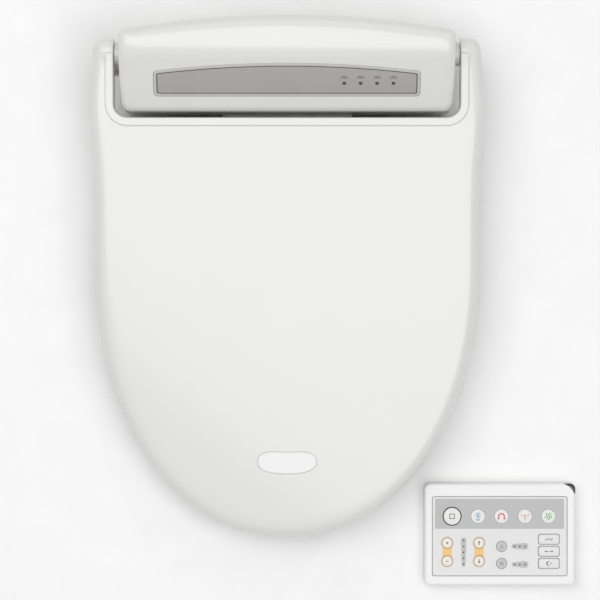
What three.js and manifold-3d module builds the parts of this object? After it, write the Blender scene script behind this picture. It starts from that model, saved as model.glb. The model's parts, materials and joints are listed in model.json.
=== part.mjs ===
// Electric bidet seat with its handset, in millimetres, +Z up.
// The seat lies as it is mounted: z = 0 is the plane of the bowl's rim, the nose points to -Y,
// and the origin is the midpoint between the two bowl bolts, on the underside.
import * as THREE from 'three';
import { mergeVertices } from 'three/addons/utils/BufferGeometryUtils.js';
import Module from 'manifold-3d';

const wasm = await Module();
wasm.setup();

// ---------- driving dimensions: seat and lid ----------
const LENGTH = 524;            // nose to the back of the control box
const REAR = 51;               // back of the control box behind the bowl bolts
const WIDTH = 396;             // across the lid's hips
const HIP_BULGE = 5;           // how far the hips stand out from the straight sides
const HIP_Y = -37;
const HIP_SPREAD = 50;
const WIDEST_Y = -200;         // the straight sides end here and the nose curve begins
const NOSE_POWER = 2.1;        // superellipse power of the nose
const CORNER = 13;             // plan radius of the lid's rear corners
const AXIS = { y: 15, z: 86 }; // shared hinge axis of seat and lid
const KNUCKLE = 16;            // lid knuckle radius about the axis
const LID_NOSE = 64;           // height of the lid at the nose
const LID_SWELL = 4;           // rise of the lid's ridge over a straight slope
const LID_CROWN = 6;           // fall from the middle to the sides at the nose
const LID_EDGE = 12;
const LID_WALL = 2.8;
const LIP_WIDTH = 8;           // raised lip round the cut-out
const LIP_HEIGHT = 2.5;
const FLANGE = 3;
const FLANGE_DEPTH = 32;
const SEAT_NOSE = 45;
const SEAT_REAR = 58;
const SEAT_EDGE = 11;
const SEAT_WALL = 3;
const SEAT_INSET = 3;          // seat inside the lid's outline
const SEAT_BACK = -52;         // back edge of the ring
const SEAT_UNDER = 12;         // underside of the ring over the bowl
const HOLE_WIDTH = 216;
const HOLE_BACK = -125;
const NOSE_BAND = 65;          // ring width at the nose
const EAR_RADIUS = 11;
const EAR_WIDTH = 7;
const EAR_GAP = 2.3;            // between the ears and the lid's flanges
const EAR_ROOT = 22;           // how far the ears reach into the ring
const SEAT_PLATE = 2.5;        // the ring's lower half, under its hollow
const HEATER = { thick: 1, clear: 0.8, fromBack: 24, fromHole: 8 };
const FOOT = { width: 30, depth: 12, noseX: 62, fromNose: 28, beside: 40, behind: 40 };
const STOP = { x: 125, y: -370, radius: 6 }; // bumpers between lid and ring
const STOP_CLEAR = 1.2;        // between the lid's lower edge and the ring
const BADGE = { y: -395, width: 60, height: 23, depth: 2 };

// ---------- driving dimensions: control box ----------
const BOX_WIDTH = 334;
const BOX_FRONT = -43;
const BOX_HEIGHT = 140;
const BOX_REAR_RADIUS = 930;
const BOX_FRONT_CORNER = 10;
const BOX_REAR_CORNER = 8;
const BOX_WALL = 3.2;
const SLOPE_FOOT = 97;         // height of the front wall, where the slope starts
const CREST_Y = 15;
const SPLIT = 49;              // tray below, cover above
const BOX_GAP = 6.7;           // between the box and the lid
const CUT_CORNER = 14;
const TRAY_WALL = 3;
const TRAY_FLOOR = { under: 5.5, top: 9 };
const SPOUT = { width: 132, front: -92, wall: 2.5, over: 18.5 }; // over: its roof over the barrel's tip
const BOX_TOP = { crest: 30, back: 14, foot: 6 }; // radii of the box's side view
const BRACKET = { width: 172, depth: 64, thick: 5, slot: 8.5, slotLength: 30, spacing: 140, corner: 8 };
const PANEL = { width: 265, foot: 18, height: 29.6, arch: 8.7, depth: 1.7, rim: 2.4, corner: 6 };
const LAMP = { first: 57, pitch: 16.3, count: 4, radius: 2.5, up: 15, endRoom: 6, sideRoom: 5, depth: 2 };

// ---------- driving dimensions: what is inside ----------
const PIN_RADIUS = 5;
const DAMPER = { radius: 12, length: 31 };
const NOZZLE = { tilt: 15, radius: 5, length: 140, room: 1 }; // room: under the tip, over the tray
const MOUTH = { up: 1.5, clear: 3.6, brow: 12 };
const RACK = { from: 61, width: 2.4, tooth: 0.9, thick: 4 };
const PINION = { teeth: 12, radius: 6, thick: 4, at: 67, bore: 1.8 };
const GUIDE = { side: 4, gap: 1.5, under: 0.6, thick: 1.9, wall: 2, from: 8, span: [54, 80], web: [50, 20] };
const SHELF = { clear: 0.8, thick: 1.5, reach: 8, behind: 5.5 };
const MOTOR = { radius: 7, length: 15 };
// The blower fills the room between its left edge and the box's right wall.
const BLOWER = { left: 78, fromWall: 21, y: 0, wall: 2.5, height: 30, blades: 14, snout: 16, motor: 14 };
const IMPELLER = { clear: 3, hub: 5, blade: 8, half: 0.8, shaft: 2 };
const DUCT = { x: 41, width: 30, wall: 1.6, low: 10.5, high: 23.8, past: 17 };
const FLAP = { thick: 1.8, gap: 0.6, side: 1, drop: 0.5, roll: 1.2, foot: 1.5 };
// The tank fills the room between the inlet valve and its right edge.
const TANK = { right: -62, fromWall: 39, y: 2, depth: 66, low: 12, high: 84, wall: 3 };
const LOOP = { rod: 3, rise: 6, lid: 4, terminal: 4, reach: 10, share: 7 / 15 }; // share of the tank's half
const INLET = { y: 8, z: 30, radius: 10.5, bore: 5, reach: 22, tail: 9, flange: 2.5 };
const VALVE = { width: 20, half: 14, rise: 6, coil: 9, coilTop: 12, bore: 4, drop: 4, depth: 12 };
const PUMP = { x: -40, y: 14, radius: 14, high: 44, port: 3, portHigh: 50 };
const SELECTOR = { x: 40, y: 16, radius: 14, high: 32 };
const SELECTOR_PORT = { apart: 6, y: 8, radius: 2.5, high: 38 };
const SELECTOR_MOTOR = { y: 20, radius: 7, high: 52 };
const CIRCUIT = { x: [-58, 62], y: [-16, 30], thick: 1.6, drop: 2 };
const RELAY = { x: [-40, -22], y: [0, 20], high: 12 };
const CAPACITOR = { x: [20, 44], y: [-8, 10], high: 8 };
const GLAND = { y: 19, z: 22, radius: 7, bore: 3.2 };
const RELEASE = { y: -12, z: 24, width: 18, height: 12, travel: 4, depth: 3, collar: 2, proud: 0.5 };

// ---------- driving dimensions: handset ----------
const HANDSET = { width: 155, height: 105, thick: 22, corner: 6, wall: 2.2, split: 11, clear: 22 };
const PAD = { width: 138, height: 81, left: 8.3, top: 13.7, sunk: 1.5, thick: 3 };
const BOARD = { z: 14.2, thick: 1.2, inset: 8, corner: 4 };
const KEY_CORNER = 2.5;
const KEY_RISE = 0.9;
const KEY_TRAVEL = 0.8;
const KEY_REST = 0.1;          // between a pressed key and the board
const CELL = { radius: 5.25, length: 44.5, upper: 28, lower: 15, room: 3, bay: [7, 36] };
const DOOR = { width: 56, length: 44, thick: 2 };
const WINDOW = { width: 10, height: 8 };

// ---------- clearances ----------
const GAP = 0.3;               // between pieces that touch
const RUN = 0.4;               // round a pin or a key that moves

// ---------- worked out from the above ----------
const NOSE_Y = REAR - LENGTH;
const HALF = WIDTH / 2 - HIP_BULGE;
const LID_REAR_Y = AXIS.y + KNUCKLE;
const LID_REAR = AXIS.z + KNUCKLE;
const CUT_HALF = BOX_WIDTH / 2 + BOX_GAP;
const CUT_FRONT = BOX_FRONT - BOX_GAP;
const SLOPE = (BOX_HEIGHT - SLOPE_FOOT) / (CREST_Y - BOX_FRONT);
const SLOPE_ANGLE = Math.atan(SLOPE);
const BLOWER_RADIUS = (BOX_WIDTH / 2 - BLOWER.fromWall - BLOWER.left) / 2;
const BLOWER_X = BLOWER.left + BLOWER_RADIUS;
const TANK_LEFT = TANK.fromWall - BOX_WIDTH / 2;
const EAR_X = CUT_HALF + FLANGE + EAR_GAP;
const PIN_END = EAR_X + EAR_WIDTH + 2;
const HOLE_FRONT = NOSE_Y + SEAT_INSET + NOSE_BAND;
const NOTCH_HALF = SPOUT.width / 2 + 4;
const NOZZLE_Z = TRAY_FLOOR.top + NOZZLE.radius + NOZZLE.room;
const SPOUT_HIGH = NOZZLE_Z + NOZZLE.radius + SPOUT.over;
const NOTCH_TOP = SPOUT_HIGH + 2.5;
const SPOUT_LOW = NOZZLE_Z + MOUTH.brow;

// ---------- materials ----------
function material(color, roughness, metalness = 0) {
  return new THREE.MeshStandardMaterial({ color, roughness, metalness });
}
const WHITE = material(0xebebe9, 0.3);
const WHITE_MATT = material(0xe2e2e0, 0.5);
const PANEL_GREY = material(0xa9a8a5, 0.35);
const RIM_GREY = material(0xb5b4b2, 0.4);
const DARK = material(0x4a4a4a, 0.4);
const BLACK = material(0x151515, 0.15);
const RUBBER = material(0xb9b9b6, 0.8);
const STEEL = material(0xbfc2c6, 0.3, 1);
const BRASS = material(0xb9924c, 0.35, 1);
const BOARD_GREEN = material(0x1f5a3a, 0.6);
const COPPER = material(0xb8754a, 0.4, 1);
const KEY_GREY = material(0xc9c9c9, 0.4);
const CELL_SLEEVE = material(0x2f6fa8, 0.35);

// ---------- solids ----------
function solidOf(geometry) {
  const bare = geometry.clone();
  bare.deleteAttribute('normal');
  bare.deleteAttribute('uv');
  const merged = mergeVertices(bare, 1e-4);
  const index = merged.index.array;
  const kept = [];
  for (let i = 0; i < index.length; i += 3) {
    const [a, b, c] = [index[i], index[i + 1], index[i + 2]];
    if (a !== b && b !== c && c !== a) kept.push(a, b, c);
  }
  const vertProperties = new Float32Array(merged.attributes.position.array);
  const triVerts = new Uint32Array(kept);
  return new wasm.Manifold(new wasm.Mesh({ numProp: 3, vertProperties, triVerts }));
}

function geometryOf(solid) {
  const { vertProperties, triVerts } = solid.getMesh();
  const geometry = new THREE.BufferGeometry();
  geometry.setAttribute('position', new THREE.BufferAttribute(vertProperties, 3));
  geometry.setIndex(new THREE.BufferAttribute(triVerts, 1));
  geometry.computeVertexNormals();
  return geometry;
}

function joined(solids) {
  return solids.reduce((whole, piece) => whole.add(piece));
}

function block(x0, x1, y0, y1, z0, z1) {
  const geometry = new THREE.BoxGeometry(x1 - x0, y1 - y0, z1 - z0);
  return solidOf(geometry.translate((x0 + x1) / 2, (y0 + y1) / 2, (z0 + z1) / 2));
}

// A shape in plan, raised from z0 to z1.
function prism(shape, z0, z1, curveSegments = 5) {
  const geometry = new THREE.ExtrudeGeometry(shape, { depth: z1 - z0, bevelEnabled: false, curveSegments });
  return solidOf(geometry.translate(0, 0, z0));
}

// A side view, its first coordinate along Y and its second along Z, drawn out from x0 to x1.
function sidePrism(shape, x0, x1, curveSegments = 5) {
  const geometry = new THREE.ExtrudeGeometry(shape, { depth: x1 - x0, bevelEnabled: false, curveSegments });
  const turn = new THREE.Matrix4().makeBasis(
    new THREE.Vector3(0, 1, 0),
    new THREE.Vector3(0, 0, 1),
    new THREE.Vector3(1, 0, 0),
  );
  return solidOf(geometry.applyMatrix4(turn).translate(x0, 0, 0));
}

// A round upright cylinder.
function post(x, y, z0, z1, radius, sides = 20) {
  const geometry = new THREE.CylinderGeometry(radius, radius, z1 - z0, sides).rotateX(Math.PI / 2);
  return solidOf(geometry.translate(x, y, (z0 + z1) / 2));
}

// A round cylinder along X.
function rod(x0, x1, y, z, radius, sides = 20) {
  const geometry = new THREE.CylinderGeometry(radius, radius, x1 - x0, sides).rotateZ(Math.PI / 2);
  return solidOf(geometry.translate((x0 + x1) / 2, y, z));
}

// A turned piece whose axis is Z: points are [radius, height] and close on themselves or the axis.
function turned(points, sides = 18) {
  const profile = points.map(([radius, height]) => new THREE.Vector2(radius, height));
  const geometry = new THREE.LatheGeometry(profile, sides).rotateX(Math.PI / 2);
  return solidOf(geometry);
}

// A polygon whose corners [x, y, radius] are rounded.
function rounded(corners) {
  const shape = new THREE.Shape();
  corners.forEach(([x, y, radius = 0], i) => {
    const corner = new THREE.Vector2(x, y);
    const before = new THREE.Vector2(...corners[(i + corners.length - 1) % corners.length].slice(0, 2));
    const after = new THREE.Vector2(...corners[(i + 1) % corners.length].slice(0, 2));
    const inward = before.sub(corner).normalize();
    const onward = after.sub(corner).normalize();
    const half = Math.acos(THREE.MathUtils.clamp(inward.dot(onward), -1, 1)) / 2;
    const reach = radius / Math.tan(half);
    const start = corner.clone().addScaledVector(inward, reach);
    const end = corner.clone().addScaledVector(onward, reach);
    if (i === 0) shape.moveTo(start.x, start.y);
    else shape.lineTo(start.x, start.y);
    if (radius === 0) return;
    const middle = inward.clone().add(onward).normalize();
    const centre = corner.clone().addScaledVector(middle, radius / Math.sin(half));
    const from = Math.atan2(start.y - centre.y, start.x - centre.x);
    const to = Math.atan2(end.y - centre.y, end.x - centre.x);
    const clockwise = inward.cross(onward) > 0;
    shape.absarc(centre.x, centre.y, radius, from, to, clockwise);
  });
  shape.closePath();
  return shape;
}

function roundedRectangle(width, height, radius) {
  const [x, y] = [width / 2, height / 2];
  return rounded([[-x, -y, radius], [x, -y, radius], [x, y, radius], [-x, y, radius]]);
}

// Rings of equally many points, from the lowest up, closed over by a fan at each end.
function loft(rings, lowCentre, highCentre) {
  const count = rings[0].length;
  const points = rings.flat();
  const index = [];
  for (let ring = 0; ring + 1 < rings.length; ring += 1) {
    for (let i = 0; i < count; i += 1) {
      const a = ring * count + i;
      const b = ring * count + (i + 1) % count;
      index.push(a, b, b + count, a, b + count, a + count);
    }
  }
  const low = points.push(lowCentre) - 1;
  const high = points.push(highCentre) - 1;
  const last = (rings.length - 1) * count;
  for (let i = 0; i < count; i += 1) {
    const next = (i + 1) % count;
    index.push(low, next, i, high, last + i, last + next);
  }
  const geometry = new THREE.BufferGeometry().setFromPoints(points);
  geometry.setIndex(index);
  return solidOf(geometry);
}

const model = new THREE.Group();

function add(name, solid, look, parent = model) {
  const mesh = new THREE.Mesh(geometryOf(solid), look);
  mesh.name = name;
  parent.add(mesh);
  return mesh;
}

// ---------- the lid's outline and the domes over it ----------
const NOSE_STEPS = 11;
const CORNER_STEPS = 3;
const SIDE_STEPS = 6;

function sideHalf(y) {
  return HALF + HIP_BULGE * Math.exp(-(((y - HIP_Y) / HIP_SPREAD) ** 2));
}

// Half of the lid's width at a place between the nose and the rear corners.
function halfWidthAt(y) {
  if (y > WIDEST_Y) return sideHalf(y);
  const reach = Math.min(1, (WIDEST_Y - y) / (WIDEST_Y - NOSE_Y));
  return HALF * (1 - reach ** NOSE_POWER) ** (1 / NOSE_POWER);
}

function rightSide() {
  const points = [];
  for (let i = 0; i <= NOSE_STEPS; i += 1) {
    const angle = (i / NOSE_STEPS) * (Math.PI / 2);
    const x = HALF * Math.sin(angle) ** (2 / NOSE_POWER);
    const y = WIDEST_Y - (WIDEST_Y - NOSE_Y) * Math.cos(angle) ** (2 / NOSE_POWER);
    points.push(new THREE.Vector2(x, y));
  }
  const cornerY = LID_REAR_Y - CORNER;
  for (let i = 1; i <= SIDE_STEPS; i += 1) {
    const y = WIDEST_Y + (cornerY - WIDEST_Y) * (i / SIDE_STEPS);
    points.push(new THREE.Vector2(sideHalf(y), y));
  }
  const cornerX = sideHalf(cornerY) - CORNER;
  for (let i = 1; i <= CORNER_STEPS; i += 1) {
    const angle = (i / CORNER_STEPS) * (Math.PI / 2);
    points.push(new THREE.Vector2(cornerX + CORNER * Math.cos(angle), cornerY + CORNER * Math.sin(angle)));
  }
  return points;
}

// The outline in plan, anticlockwise from the nose, moved inwards by an inset.
function outline(inset) {
  const right = rightSide();
  const left = right.slice(1).reverse().map((p) => new THREE.Vector2(-p.x, p.y));
  const points = [...right, ...left];
  return points.map((point, i) => {
    const before = points[(i + points.length - 1) % points.length];
    const after = points[(i + 1) % points.length];
    const inSide = point.clone().sub(before).normalize();
    const outSide = after.clone().sub(point).normalize();
    const along = inSide.add(outSide).normalize();
    return new THREE.Vector2(point.x - along.y * inset, point.y + along.x * inset);
  });
}

// The outline, moved inwards by an inset and raised from z0 to z1.
function outlinePrism(inset, z0, z1) {
  const level = (z) => outline(inset).map((p) => new THREE.Vector3(p.x, p.y, z));
  return loft([level(z0), level(z1)], new THREE.Vector3(0, WIDEST_Y, z0), new THREE.Vector3(0, WIDEST_Y, z1));
}

function share(y) {
  return THREE.MathUtils.clamp((CUT_FRONT - y) / (CUT_FRONT - NOSE_Y), 0, 1);
}

function lidTop(x, y) {
  const s = share(y);
  const ridge = LID_REAR + (LID_NOSE - LID_REAR) * s + LID_SWELL * 4 * s * (1 - s);
  return ridge - LID_CROWN * s * (x / HALF) ** 2;
}

function seatTop(y) {
  return SEAT_REAR + (SEAT_NOSE - SEAT_REAR) * share(y);
}

function seatSurface(x, y) {
  return seatTop(y);
}

// The solid under a top surface: its rim stands upright and its edge is rounded.
const EDGE_ANGLES = [0, 40, 90];
const INNER_RINGS = [0.7, 0.35];

function dome(top, inset, drop, edge, floor) {
  const rings = [outline(inset).map((p) => new THREE.Vector3(p.x, p.y, floor))];
  for (const degrees of EDGE_ANGLES) {
    const angle = THREE.MathUtils.degToRad(degrees);
    const fall = drop + edge * (1 - Math.sin(angle));
    const ring = outline(inset + edge * (1 - Math.cos(angle)));
    rings.push(ring.map((p) => new THREE.Vector3(p.x, p.y, top(p.x, p.y) - fall)));
  }
  const inner = outline(inset + edge);
  for (const scale of INNER_RINGS) {
    rings.push(inner.map((p) => {
      const x = p.x * scale;
      const y = WIDEST_Y + (p.y - WIDEST_Y) * scale;
      return new THREE.Vector3(x, y, top(x, y) - drop);
    }));
  }
  const low = new THREE.Vector3(0, WIDEST_Y, floor);
  const high = new THREE.Vector3(0, WIDEST_Y, top(0, WIDEST_Y) - drop);
  return loft(rings, low, high);
}

// The cut-out round the control box, grown by a margin.
function cutOut(margin) {
  const half = CUT_HALF + margin;
  const front = CUT_FRONT - margin;
  const back = LID_REAR_Y + REAR;
  return rounded([
    [-half, front, CUT_CORNER + margin],
    [half, front, CUT_CORNER + margin],
    [half, back, 0],
    [-half, back, 0],
  ]);
}

// ---------- lid ----------
function badgeShape(inset) {
  const x = BADGE.width / 2 - inset;
  const y = BADGE.height / 2 - inset;
  const shape = new THREE.Shape();
  shape.moveTo(0, BADGE.y - y);
  shape.bezierCurveTo(x * 0.6, BADGE.y - y, x, BADGE.y - y * 0.5, x, BADGE.y + y * 0.2);
  shape.bezierCurveTo(x, BADGE.y + y * 0.85, x * 0.75, BADGE.y + y, x * 0.5, BADGE.y + y * 0.85);
  const [dip, shoulder] = [BADGE.y + y * 0.6, BADGE.y + y * 0.85];
  shape.bezierCurveTo(x * 0.27, dip, -x * 0.27, dip, -x * 0.5, shoulder);
  shape.bezierCurveTo(-x * 0.75, BADGE.y + y, -x, BADGE.y + y * 0.85, -x, BADGE.y + y * 0.2);
  shape.bezierCurveTo(-x, BADGE.y - y * 0.5, -x * 0.6, BADGE.y - y, 0, BADGE.y - y);
  return shape;
}

function lidShell() {
  const low = SEAT_UNDER;
  const outer = dome(lidTop, 0, 0, LID_EDGE, low);
  const inner = dome(lidTop, LID_WALL, LID_WALL, LID_EDGE - LID_WALL, low - 1);
  const raised = dome(lidTop, 0, -LIP_HEIGHT, LID_EDGE, low);
  const sunk = dome(lidTop, 0, LID_WALL / 2, LID_EDGE, low);
  const top = LID_REAR + 2 * LIP_HEIGHT;
  const untilAxis = block(-WIDTH, WIDTH, NOSE_Y, AXIS.y, 0, top);
  const ridge = prism(cutOut(LIP_WIDTH), low, top).intersect(raised).subtract(sunk).intersect(untilAxis);
  const flangeLow = LID_REAR - FLANGE_DEPTH;
  const knuckle = sidePrism(rounded([
    [CUT_FRONT - LIP_WIDTH, flangeLow, 0],
    [LID_REAR_Y, flangeLow, KNUCKLE - 0.1],
    [LID_REAR_Y, top, KNUCKLE - 0.1],
    [CUT_FRONT - LIP_WIDTH, top, 0],
  ]), -WIDTH, WIDTH);
  const flange = prism(cutOut(FLANGE), flangeLow, top).intersect(knuckle).intersect(raised);
  const under = sidePrism(rounded([
    [NOSE_Y - 50, -50],
    [LID_REAR_Y + 20, -50],
    [LID_REAR_Y + 20, AXIS.z],
    [AXIS.y + 5, AXIS.z],
    [AXIS.y - 10, AXIS.z - 20],
    [CUT_FRONT, seatTop(CUT_FRONT) + STOP_CLEAR],
    [NOSE_Y - 50, seatTop(NOSE_Y) + STOP_CLEAR],
  ]), -WIDTH, WIDTH);
  const recess = prism(badgeShape(0), low, top).subtract(dome(lidTop, 0, BADGE.depth, LID_EDGE, low));
  const backing = prism(badgeShape(-2), low, top)
    .intersect(outer)
    .subtract(dome(lidTop, 0, BADGE.depth + LID_WALL, LID_EDGE, low - 1));
  return outer
    .subtract(inner)
    .subtract(under)
    .add(backing)
    .add(ridge)
    .add(flange.subtract(prism(cutOut(0), low, top)))
    .subtract(prism(cutOut(0), low - 2, top + 2))
    .subtract(recess)
    .subtract(rod(-EAR_X, EAR_X, AXIS.y, AXIS.z, PIN_RADIUS + RUN));
}

function lidBadge() {
  return prism(badgeShape(GAP), SEAT_UNDER, LID_REAR)
    .intersect(dome(lidTop, 0, BADGE.depth / 3, LID_EDGE, SEAT_UNDER))
    .subtract(dome(lidTop, 0, BADGE.depth - GAP, LID_EDGE, 0));
}

function lidBumper(side) {
  const { x, y, radius } = STOP;
  return post(side * x, y, seatTop(y) + GAP, LID_REAR, radius, 16)
    .intersect(dome(lidTop, 0, LID_WALL + GAP, LID_EDGE, SEAT_UNDER));
}

// ---------- seat ----------
// The seat's opening, an egg between its front and back edges, grown by a margin.
function holeShape(margin) {
  const long = (HOLE_BACK - HOLE_FRONT) / 2;
  const middle = (HOLE_BACK + HOLE_FRONT) / 2;
  return new THREE.Shape().absellipse(0, middle, HOLE_WIDTH / 2 + margin, long + margin, 0, 2 * Math.PI);
}

const HOLE_STEPS = 32;

function holePrism(margin, z0, z1) {
  return prism(holeShape(margin), z0, z1, HOLE_STEPS);
}

function ahead(y) {
  return block(-WIDTH, WIDTH, NOSE_Y - 50, y, -50, BOX_HEIGHT);
}

function notch(grow) {
  return block(-NOTCH_HALF - grow, NOTCH_HALF + grow, HOLE_BACK - 60, SEAT_BACK + 20, -50, NOTCH_TOP + grow);
}

function ear(side) {
  const near = side * EAR_X;
  const far = side * (EAR_X + EAR_WIDTH);
  const [x0, x1] = [Math.min(near, far), Math.max(near, far)];
  const neck = rounded([
    [SEAT_BACK - EAR_ROOT, seatTop(SEAT_BACK) - 26],
    [SEAT_BACK + 8, seatTop(SEAT_BACK) - 20],
    [AXIS.y + 4, AXIS.z - 8],
    [AXIS.y - 4, AXIS.z + 9],
    [SEAT_BACK - 10, seatTop(SEAT_BACK) - 2],
    [SEAT_BACK - EAR_ROOT, seatTop(SEAT_BACK) - 4],
  ]);
  return sidePrism(neck, x0, x1)
    .add(rod(x0, x1, AXIS.y, AXIS.z, EAR_RADIUS))
    .subtract(rod(x0 - 1, x1 + 1, AXIS.y, AXIS.z, PIN_RADIUS + RUN));
}

function seatShell() {
  const outer = dome(seatSurface, SEAT_INSET, 0, SEAT_EDGE, SEAT_UNDER).intersect(ahead(SEAT_BACK));
  const inner = dome(seatSurface, SEAT_INSET + SEAT_WALL, SEAT_WALL, SEAT_EDGE - SEAT_WALL, SEAT_UNDER - 1)
    .intersect(ahead(SEAT_BACK - SEAT_WALL))
    .subtract(holePrism(SEAT_WALL, 0, BOX_HEIGHT));
  return outer
    .subtract(inner)
    .subtract(holePrism(0, 0, BOX_HEIGHT))
    .subtract(notch(-GAP))
    .add(ear(1))
    .add(ear(-1));
}

function seatUnderside() {
  const inset = SEAT_INSET + SEAT_WALL + GAP;
  const thick = SEAT_PLATE;
  const body = dome(seatSurface, inset, SEAT_WALL + GAP, SEAT_EDGE - SEAT_WALL, SEAT_UNDER)
    .intersect(ahead(SEAT_BACK - SEAT_WALL - GAP))
    .subtract(holePrism(SEAT_WALL + GAP, 0, BOX_HEIGHT));
  const plate = body.intersect(block(-WIDTH, WIDTH, NOSE_Y, 0, SEAT_UNDER, SEAT_UNDER + thick));
  const arch = body.intersect(notch(thick)).intersect(block(-WIDTH, WIDTH, NOSE_Y, 0, 0, NOTCH_TOP + thick));
  return plate.add(arch).subtract(notch(0));
}

function seatHeater() {
  const inset = SEAT_INSET + SEAT_WALL;
  const edge = SEAT_EDGE - SEAT_WALL;
  const drop = SEAT_WALL + HEATER.clear;
  return outlinePrism(inset + edge + HEATER.clear, SEAT_UNDER, BOX_HEIGHT)
    .intersect(dome(seatSurface, inset, drop, edge, SEAT_UNDER))
    .subtract(dome(seatSurface, inset, drop + HEATER.thick, edge, 0))
    .intersect(ahead(SEAT_BACK - HEATER.fromBack))
    .subtract(holePrism(SEAT_WALL + HEATER.fromHole, 0, BOX_HEIGHT));
}

function seatBumper() {
  const shape = roundedRectangle(FOOT.width, FOOT.depth, FOOT.depth / 2 - 0.5);
  return prism(shape, 0, SEAT_UNDER - GAP, 3);
}

// ---------- control box ----------
function boxPlan(inset) {
  const half = BOX_WIDTH / 2 - inset;
  const front = BOX_FRONT + inset;
  const frontCorner = Math.max(1, BOX_FRONT_CORNER - inset);
  const rearCorner = Math.max(1, BOX_REAR_CORNER - inset);
  const radius = BOX_REAR_RADIUS - inset;
  const centre = REAR - BOX_REAR_RADIUS;
  const cornerX = half - rearCorner;
  const cornerY = centre + Math.sqrt((radius - rearCorner) ** 2 - cornerX ** 2);
  const lean = Math.atan2(cornerY - centre, cornerX);
  const shape = new THREE.Shape();
  shape.moveTo(-half + frontCorner, front);
  shape.lineTo(half - frontCorner, front);
  shape.absarc(half - frontCorner, front + frontCorner, frontCorner, -Math.PI / 2, 0);
  shape.absarc(cornerX, cornerY, rearCorner, 0, lean);
  shape.absarc(0, centre, radius, lean, Math.PI - lean);
  shape.absarc(-cornerX, cornerY, rearCorner, Math.PI - lean, Math.PI);
  shape.absarc(-half + frontCorner, front + frontCorner, frontCorner, Math.PI, 1.5 * Math.PI);
  return shape;
}

function slopeAt(y) {
  return SLOPE_FOOT + SLOPE * (y - BOX_FRONT);
}

function boxSide(inset, low) {
  const front = BOX_FRONT + inset;
  const top = BOX_HEIGHT - inset;
  const fall = inset * Math.hypot(1, SLOPE);
  const crest = CREST_Y + (fall - inset) / SLOPE;
  const back = REAR - inset;
  return sidePrism(rounded([
    [front, low],
    [back, low],
    [back, top, BOX_TOP.back],
    [crest, top, BOX_TOP.crest],
    [front, slopeAt(front) - fall, BOX_TOP.foot],
  ]), -BOX_WIDTH, BOX_WIDTH);
}

// The panel's outline on the slope: straight at the foot and arched at the head.
function panelShape(inset) {
  const half = PANEL.width / 2 - inset;
  const low = inset;
  const high = PANEL.height - inset;
  const corner = PANEL.corner - inset;
  const shape = new THREE.Shape();
  shape.moveTo(-half + corner, low);
  shape.lineTo(half - corner, low);
  shape.absarc(half - corner, low + corner, corner, -Math.PI / 2, 0);
  shape.absarc(half - corner, high - corner, corner, 0, Math.PI / 2);
  shape.quadraticCurveTo(0, high + 2 * PANEL.arch, -half + corner, high);
  shape.absarc(-half + corner, high - corner, corner, Math.PI / 2, Math.PI);
  shape.absarc(-half + corner, low + corner, corner, Math.PI, 1.5 * Math.PI);
  return shape;
}

// Turns a solid that lies on z = 0 onto the slope, its y = 0 at the panel's foot.
function ontoSlope(solid) {
  const y = BOX_FRONT + PANEL.foot * Math.cos(SLOPE_ANGLE);
  const degrees = THREE.MathUtils.radToDeg(SLOPE_ANGLE);
  return solid.rotate([degrees, 0, 0]).translate([0, y, slopeAt(y)]);
}

function lampXs() {
  return Array.from({ length: LAMP.count }, (_, i) => LAMP.first + LAMP.pitch * i);
}

function lampSlot(grow) {
  const xs = lampXs();
  const { up, endRoom, sideRoom } = LAMP;
  const [first, last] = [xs[0] - endRoom, xs[xs.length - 1] + endRoom];
  return [first - grow, last + grow, up - sideRoom - grow, up + sideRoom + grow];
}

function topCover() {
  const outer = prism(boxPlan(0), SPLIT + GAP, BOX_HEIGHT + 5).intersect(boxSide(0, SPLIT));
  const inner = prism(boxPlan(BOX_WALL), SPLIT - 2, BOX_HEIGHT).intersect(boxSide(BOX_WALL, SPLIT - 3));
  const half = BOX_WIDTH / 2;
  const boss = (side) => {
    const ends = [side * (half - 1), side * (CUT_HALF - RUN)];
    return rod(Math.min(...ends), Math.max(...ends), AXIS.y, AXIS.z, DAMPER.radius);
  };
  const recess = ontoSlope(prism(panelShape(-GAP), -PANEL.depth - GAP, 20));
  const [x0, x1, y0, y1] = lampSlot(GAP);
  return outer
    .subtract(inner)
    .add(boss(1))
    .add(boss(-1))
    .subtract(rod(-CUT_HALF - 1, CUT_HALF + 1, AXIS.y, AXIS.z, PIN_RADIUS + GAP))
    .subtract(recess)
    .subtract(ontoSlope(block(x0, x1, y0, y1, -BOX_WALL * 3, 0)));
}

function panelBezel() {
  return ontoSlope(prism(panelShape(0), -PANEL.depth, GAP)
    .subtract(prism(panelShape(PANEL.rim), -PANEL.depth - 1, 2)));
}

function panelWindow() {
  const holes = lampXs().map((x) => post(x, LAMP.up, -PANEL.depth - 1, 2, LAMP.radius + GAP, 10));
  return ontoSlope(prism(panelShape(PANEL.rim + GAP), -PANEL.depth, 0).subtract(joined(holes)));
}

function indicatorStrip() {
  const [x0, x1, y0, y1] = lampSlot(0);
  const low = -BOX_WALL - LAMP.depth;
  const bar = block(x0, x1, y0, y1, low, -PANEL.depth - GAP);
  const lamps = lampXs().map((x) => post(x, LAMP.up, low, 0.1, LAMP.radius, 10));
  return ontoSlope(joined([bar, ...lamps]));
}

function spoutSide(grow) {
  return rounded([
    [SPOUT.front - grow, TRAY_FLOOR.under - grow],
    [BOX_FRONT + TRAY_WALL + 1, TRAY_FLOOR.under - grow],
    [BOX_FRONT + TRAY_WALL + 1, SPOUT_HIGH + grow],
    [SPOUT.front - grow, SPOUT_LOW + grow],
  ]);
}

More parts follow.
